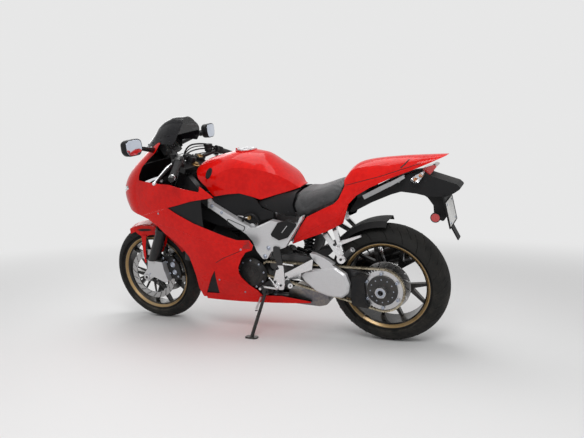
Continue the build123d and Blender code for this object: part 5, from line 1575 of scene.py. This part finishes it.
tyre("front_tyre_tread", WHEELBASE, FRONT_R, 120.0, 62.0, 48.0, "front_wheel", front_rubber)
tyre("rear_tyre_tread", 0.0, REAR_R, 180.0, 95.0, 75.0, "rear_wheel", rear_rubber)
for dress in (
    discs, chain, padded_seat, gauges, controls, steering_parts, mirrors, lamp_bowls, tail_lights,
    frame_dress, panel_details, engine_dress, exhaust_dress, rear_suspension, step_details,
    wheel_details, stand_details, tank_details, seat_base,
):
    dress()


# Floor, light and camera
BACKDROP = 0.80


def seen_rays(net):
    """One for what the camera sees, straight or in glass and metal."""
    path = net.put("LightPath").outputs
    either = net.calc("MAXIMUM", path["Is Camera Ray"], path["Is Glossy Ray"])
    return net.calc("MAXIMUM", either, path["Is Transmission Ray"])


def bare(owner):
    """The emptied node tree of a material or world."""
    owner.use_nodes = True
    owner.node_tree.nodes.clear()
    return Net(owner.node_tree)


def studio():
    """A pale floor that fades into a pale backdrop, and three soft lamps."""
    bm = bmesh.new()
    bmesh.ops.create_grid(bm, x_segments=1, y_segments=1, size=30.0)
    floor = show("floor", kept(bm, "floor"))
    pale = bpy.data.materials.new("floor_pale")
    floor.data.materials.append(pale)
    net = bare(pale)
    spot = net.put("TexCoord").outputs["Object"]
    tone = net.blend(net.noise(spot, 220.0, 3.0), (0.76, 0.76, 0.76, 1.0), (0.80, 0.80, 0.80, 1.0))
    ground = net.put("BsdfPrincipled", Base_Color=tone, Roughness=0.7)
    fade = net.ramp(net.calc("LENGTH", spot, kind="VectorMath"), 1.7, 5.2)
    glow = net.put("Emission", Color=(BACKDROP, BACKDROP, BACKDROP, 1.0), Strength=1.0)
    mixed = net.put("MixShader")
    parts = (net.product(fade, seen_rays(net)), ground.outputs[0], glow.outputs[0])
    for socket, value in zip(mixed.inputs, parts):
        net.join(socket, value)
    net.put("OutputMaterial", Surface=mixed.outputs[0])

    world = bpy.data.worlds.new("studio")
    bpy.context.scene.world = world
    net = bare(world)
    strength = net.blend(seen_rays(net), 0.34, BACKDROP)
    glow = net.put("Background", Color=(1, 1, 1, 1), Strength=strength)
    net.put("OutputWorld", Surface=glow.outputs[0])

    for name, place, size, power in (
        ("key", (-1.6, 3.0, 3.4), 2.0, 96.0),
        ("top", (0.4, -0.4, 3.8), 2.6, 60.0),
        ("rim", (2.8, -2.6, 2.4), 2.0, 26.0),
    ):
        lamp = bpy.data.lights.new(name, "AREA")
        lamp.size, lamp.energy = size, power
        held = show(name, lamp)
        held.location = place
        held.rotation_mode = "QUATERNION"
        held.rotation_quaternion = (at(0, 0, 0.6) - Vector(place)).to_track_quat("-Z", "Y")


def camera():
    """The camera stands where the photograph was taken from."""
    glass = bpy.data.cameras.new("camera")
    glass.sensor_width = SENSOR
    glass.lens = FOCAL_PX * SENSOR / PHOTO_WIDE
    held = show("camera", glass)
    turn = Matrix.Rotation(HEADING, 4, "Z") @ Matrix.Rotation(DIP, 4, "Y")
    ahead = turn @ at(1, 0, 0)
    right = ahead.cross(at(0, 0, 1)).normalized()
    up = right.cross(ahead)
    turned_right = right * math.cos(ROLL) + up * math.sin(ROLL)
    turned_up = up * math.cos(ROLL) - right * math.sin(ROLL)
    turn = Matrix((turned_right, turned_up, -ahead)).transposed().to_4x4()
    held.matrix_world = GROUND @ Matrix.Translation(EYE) @ turn
    bpy.context.scene.camera = held


studio()
camera()
bpy.context.scene.view_settings.view_transform = "Standard"
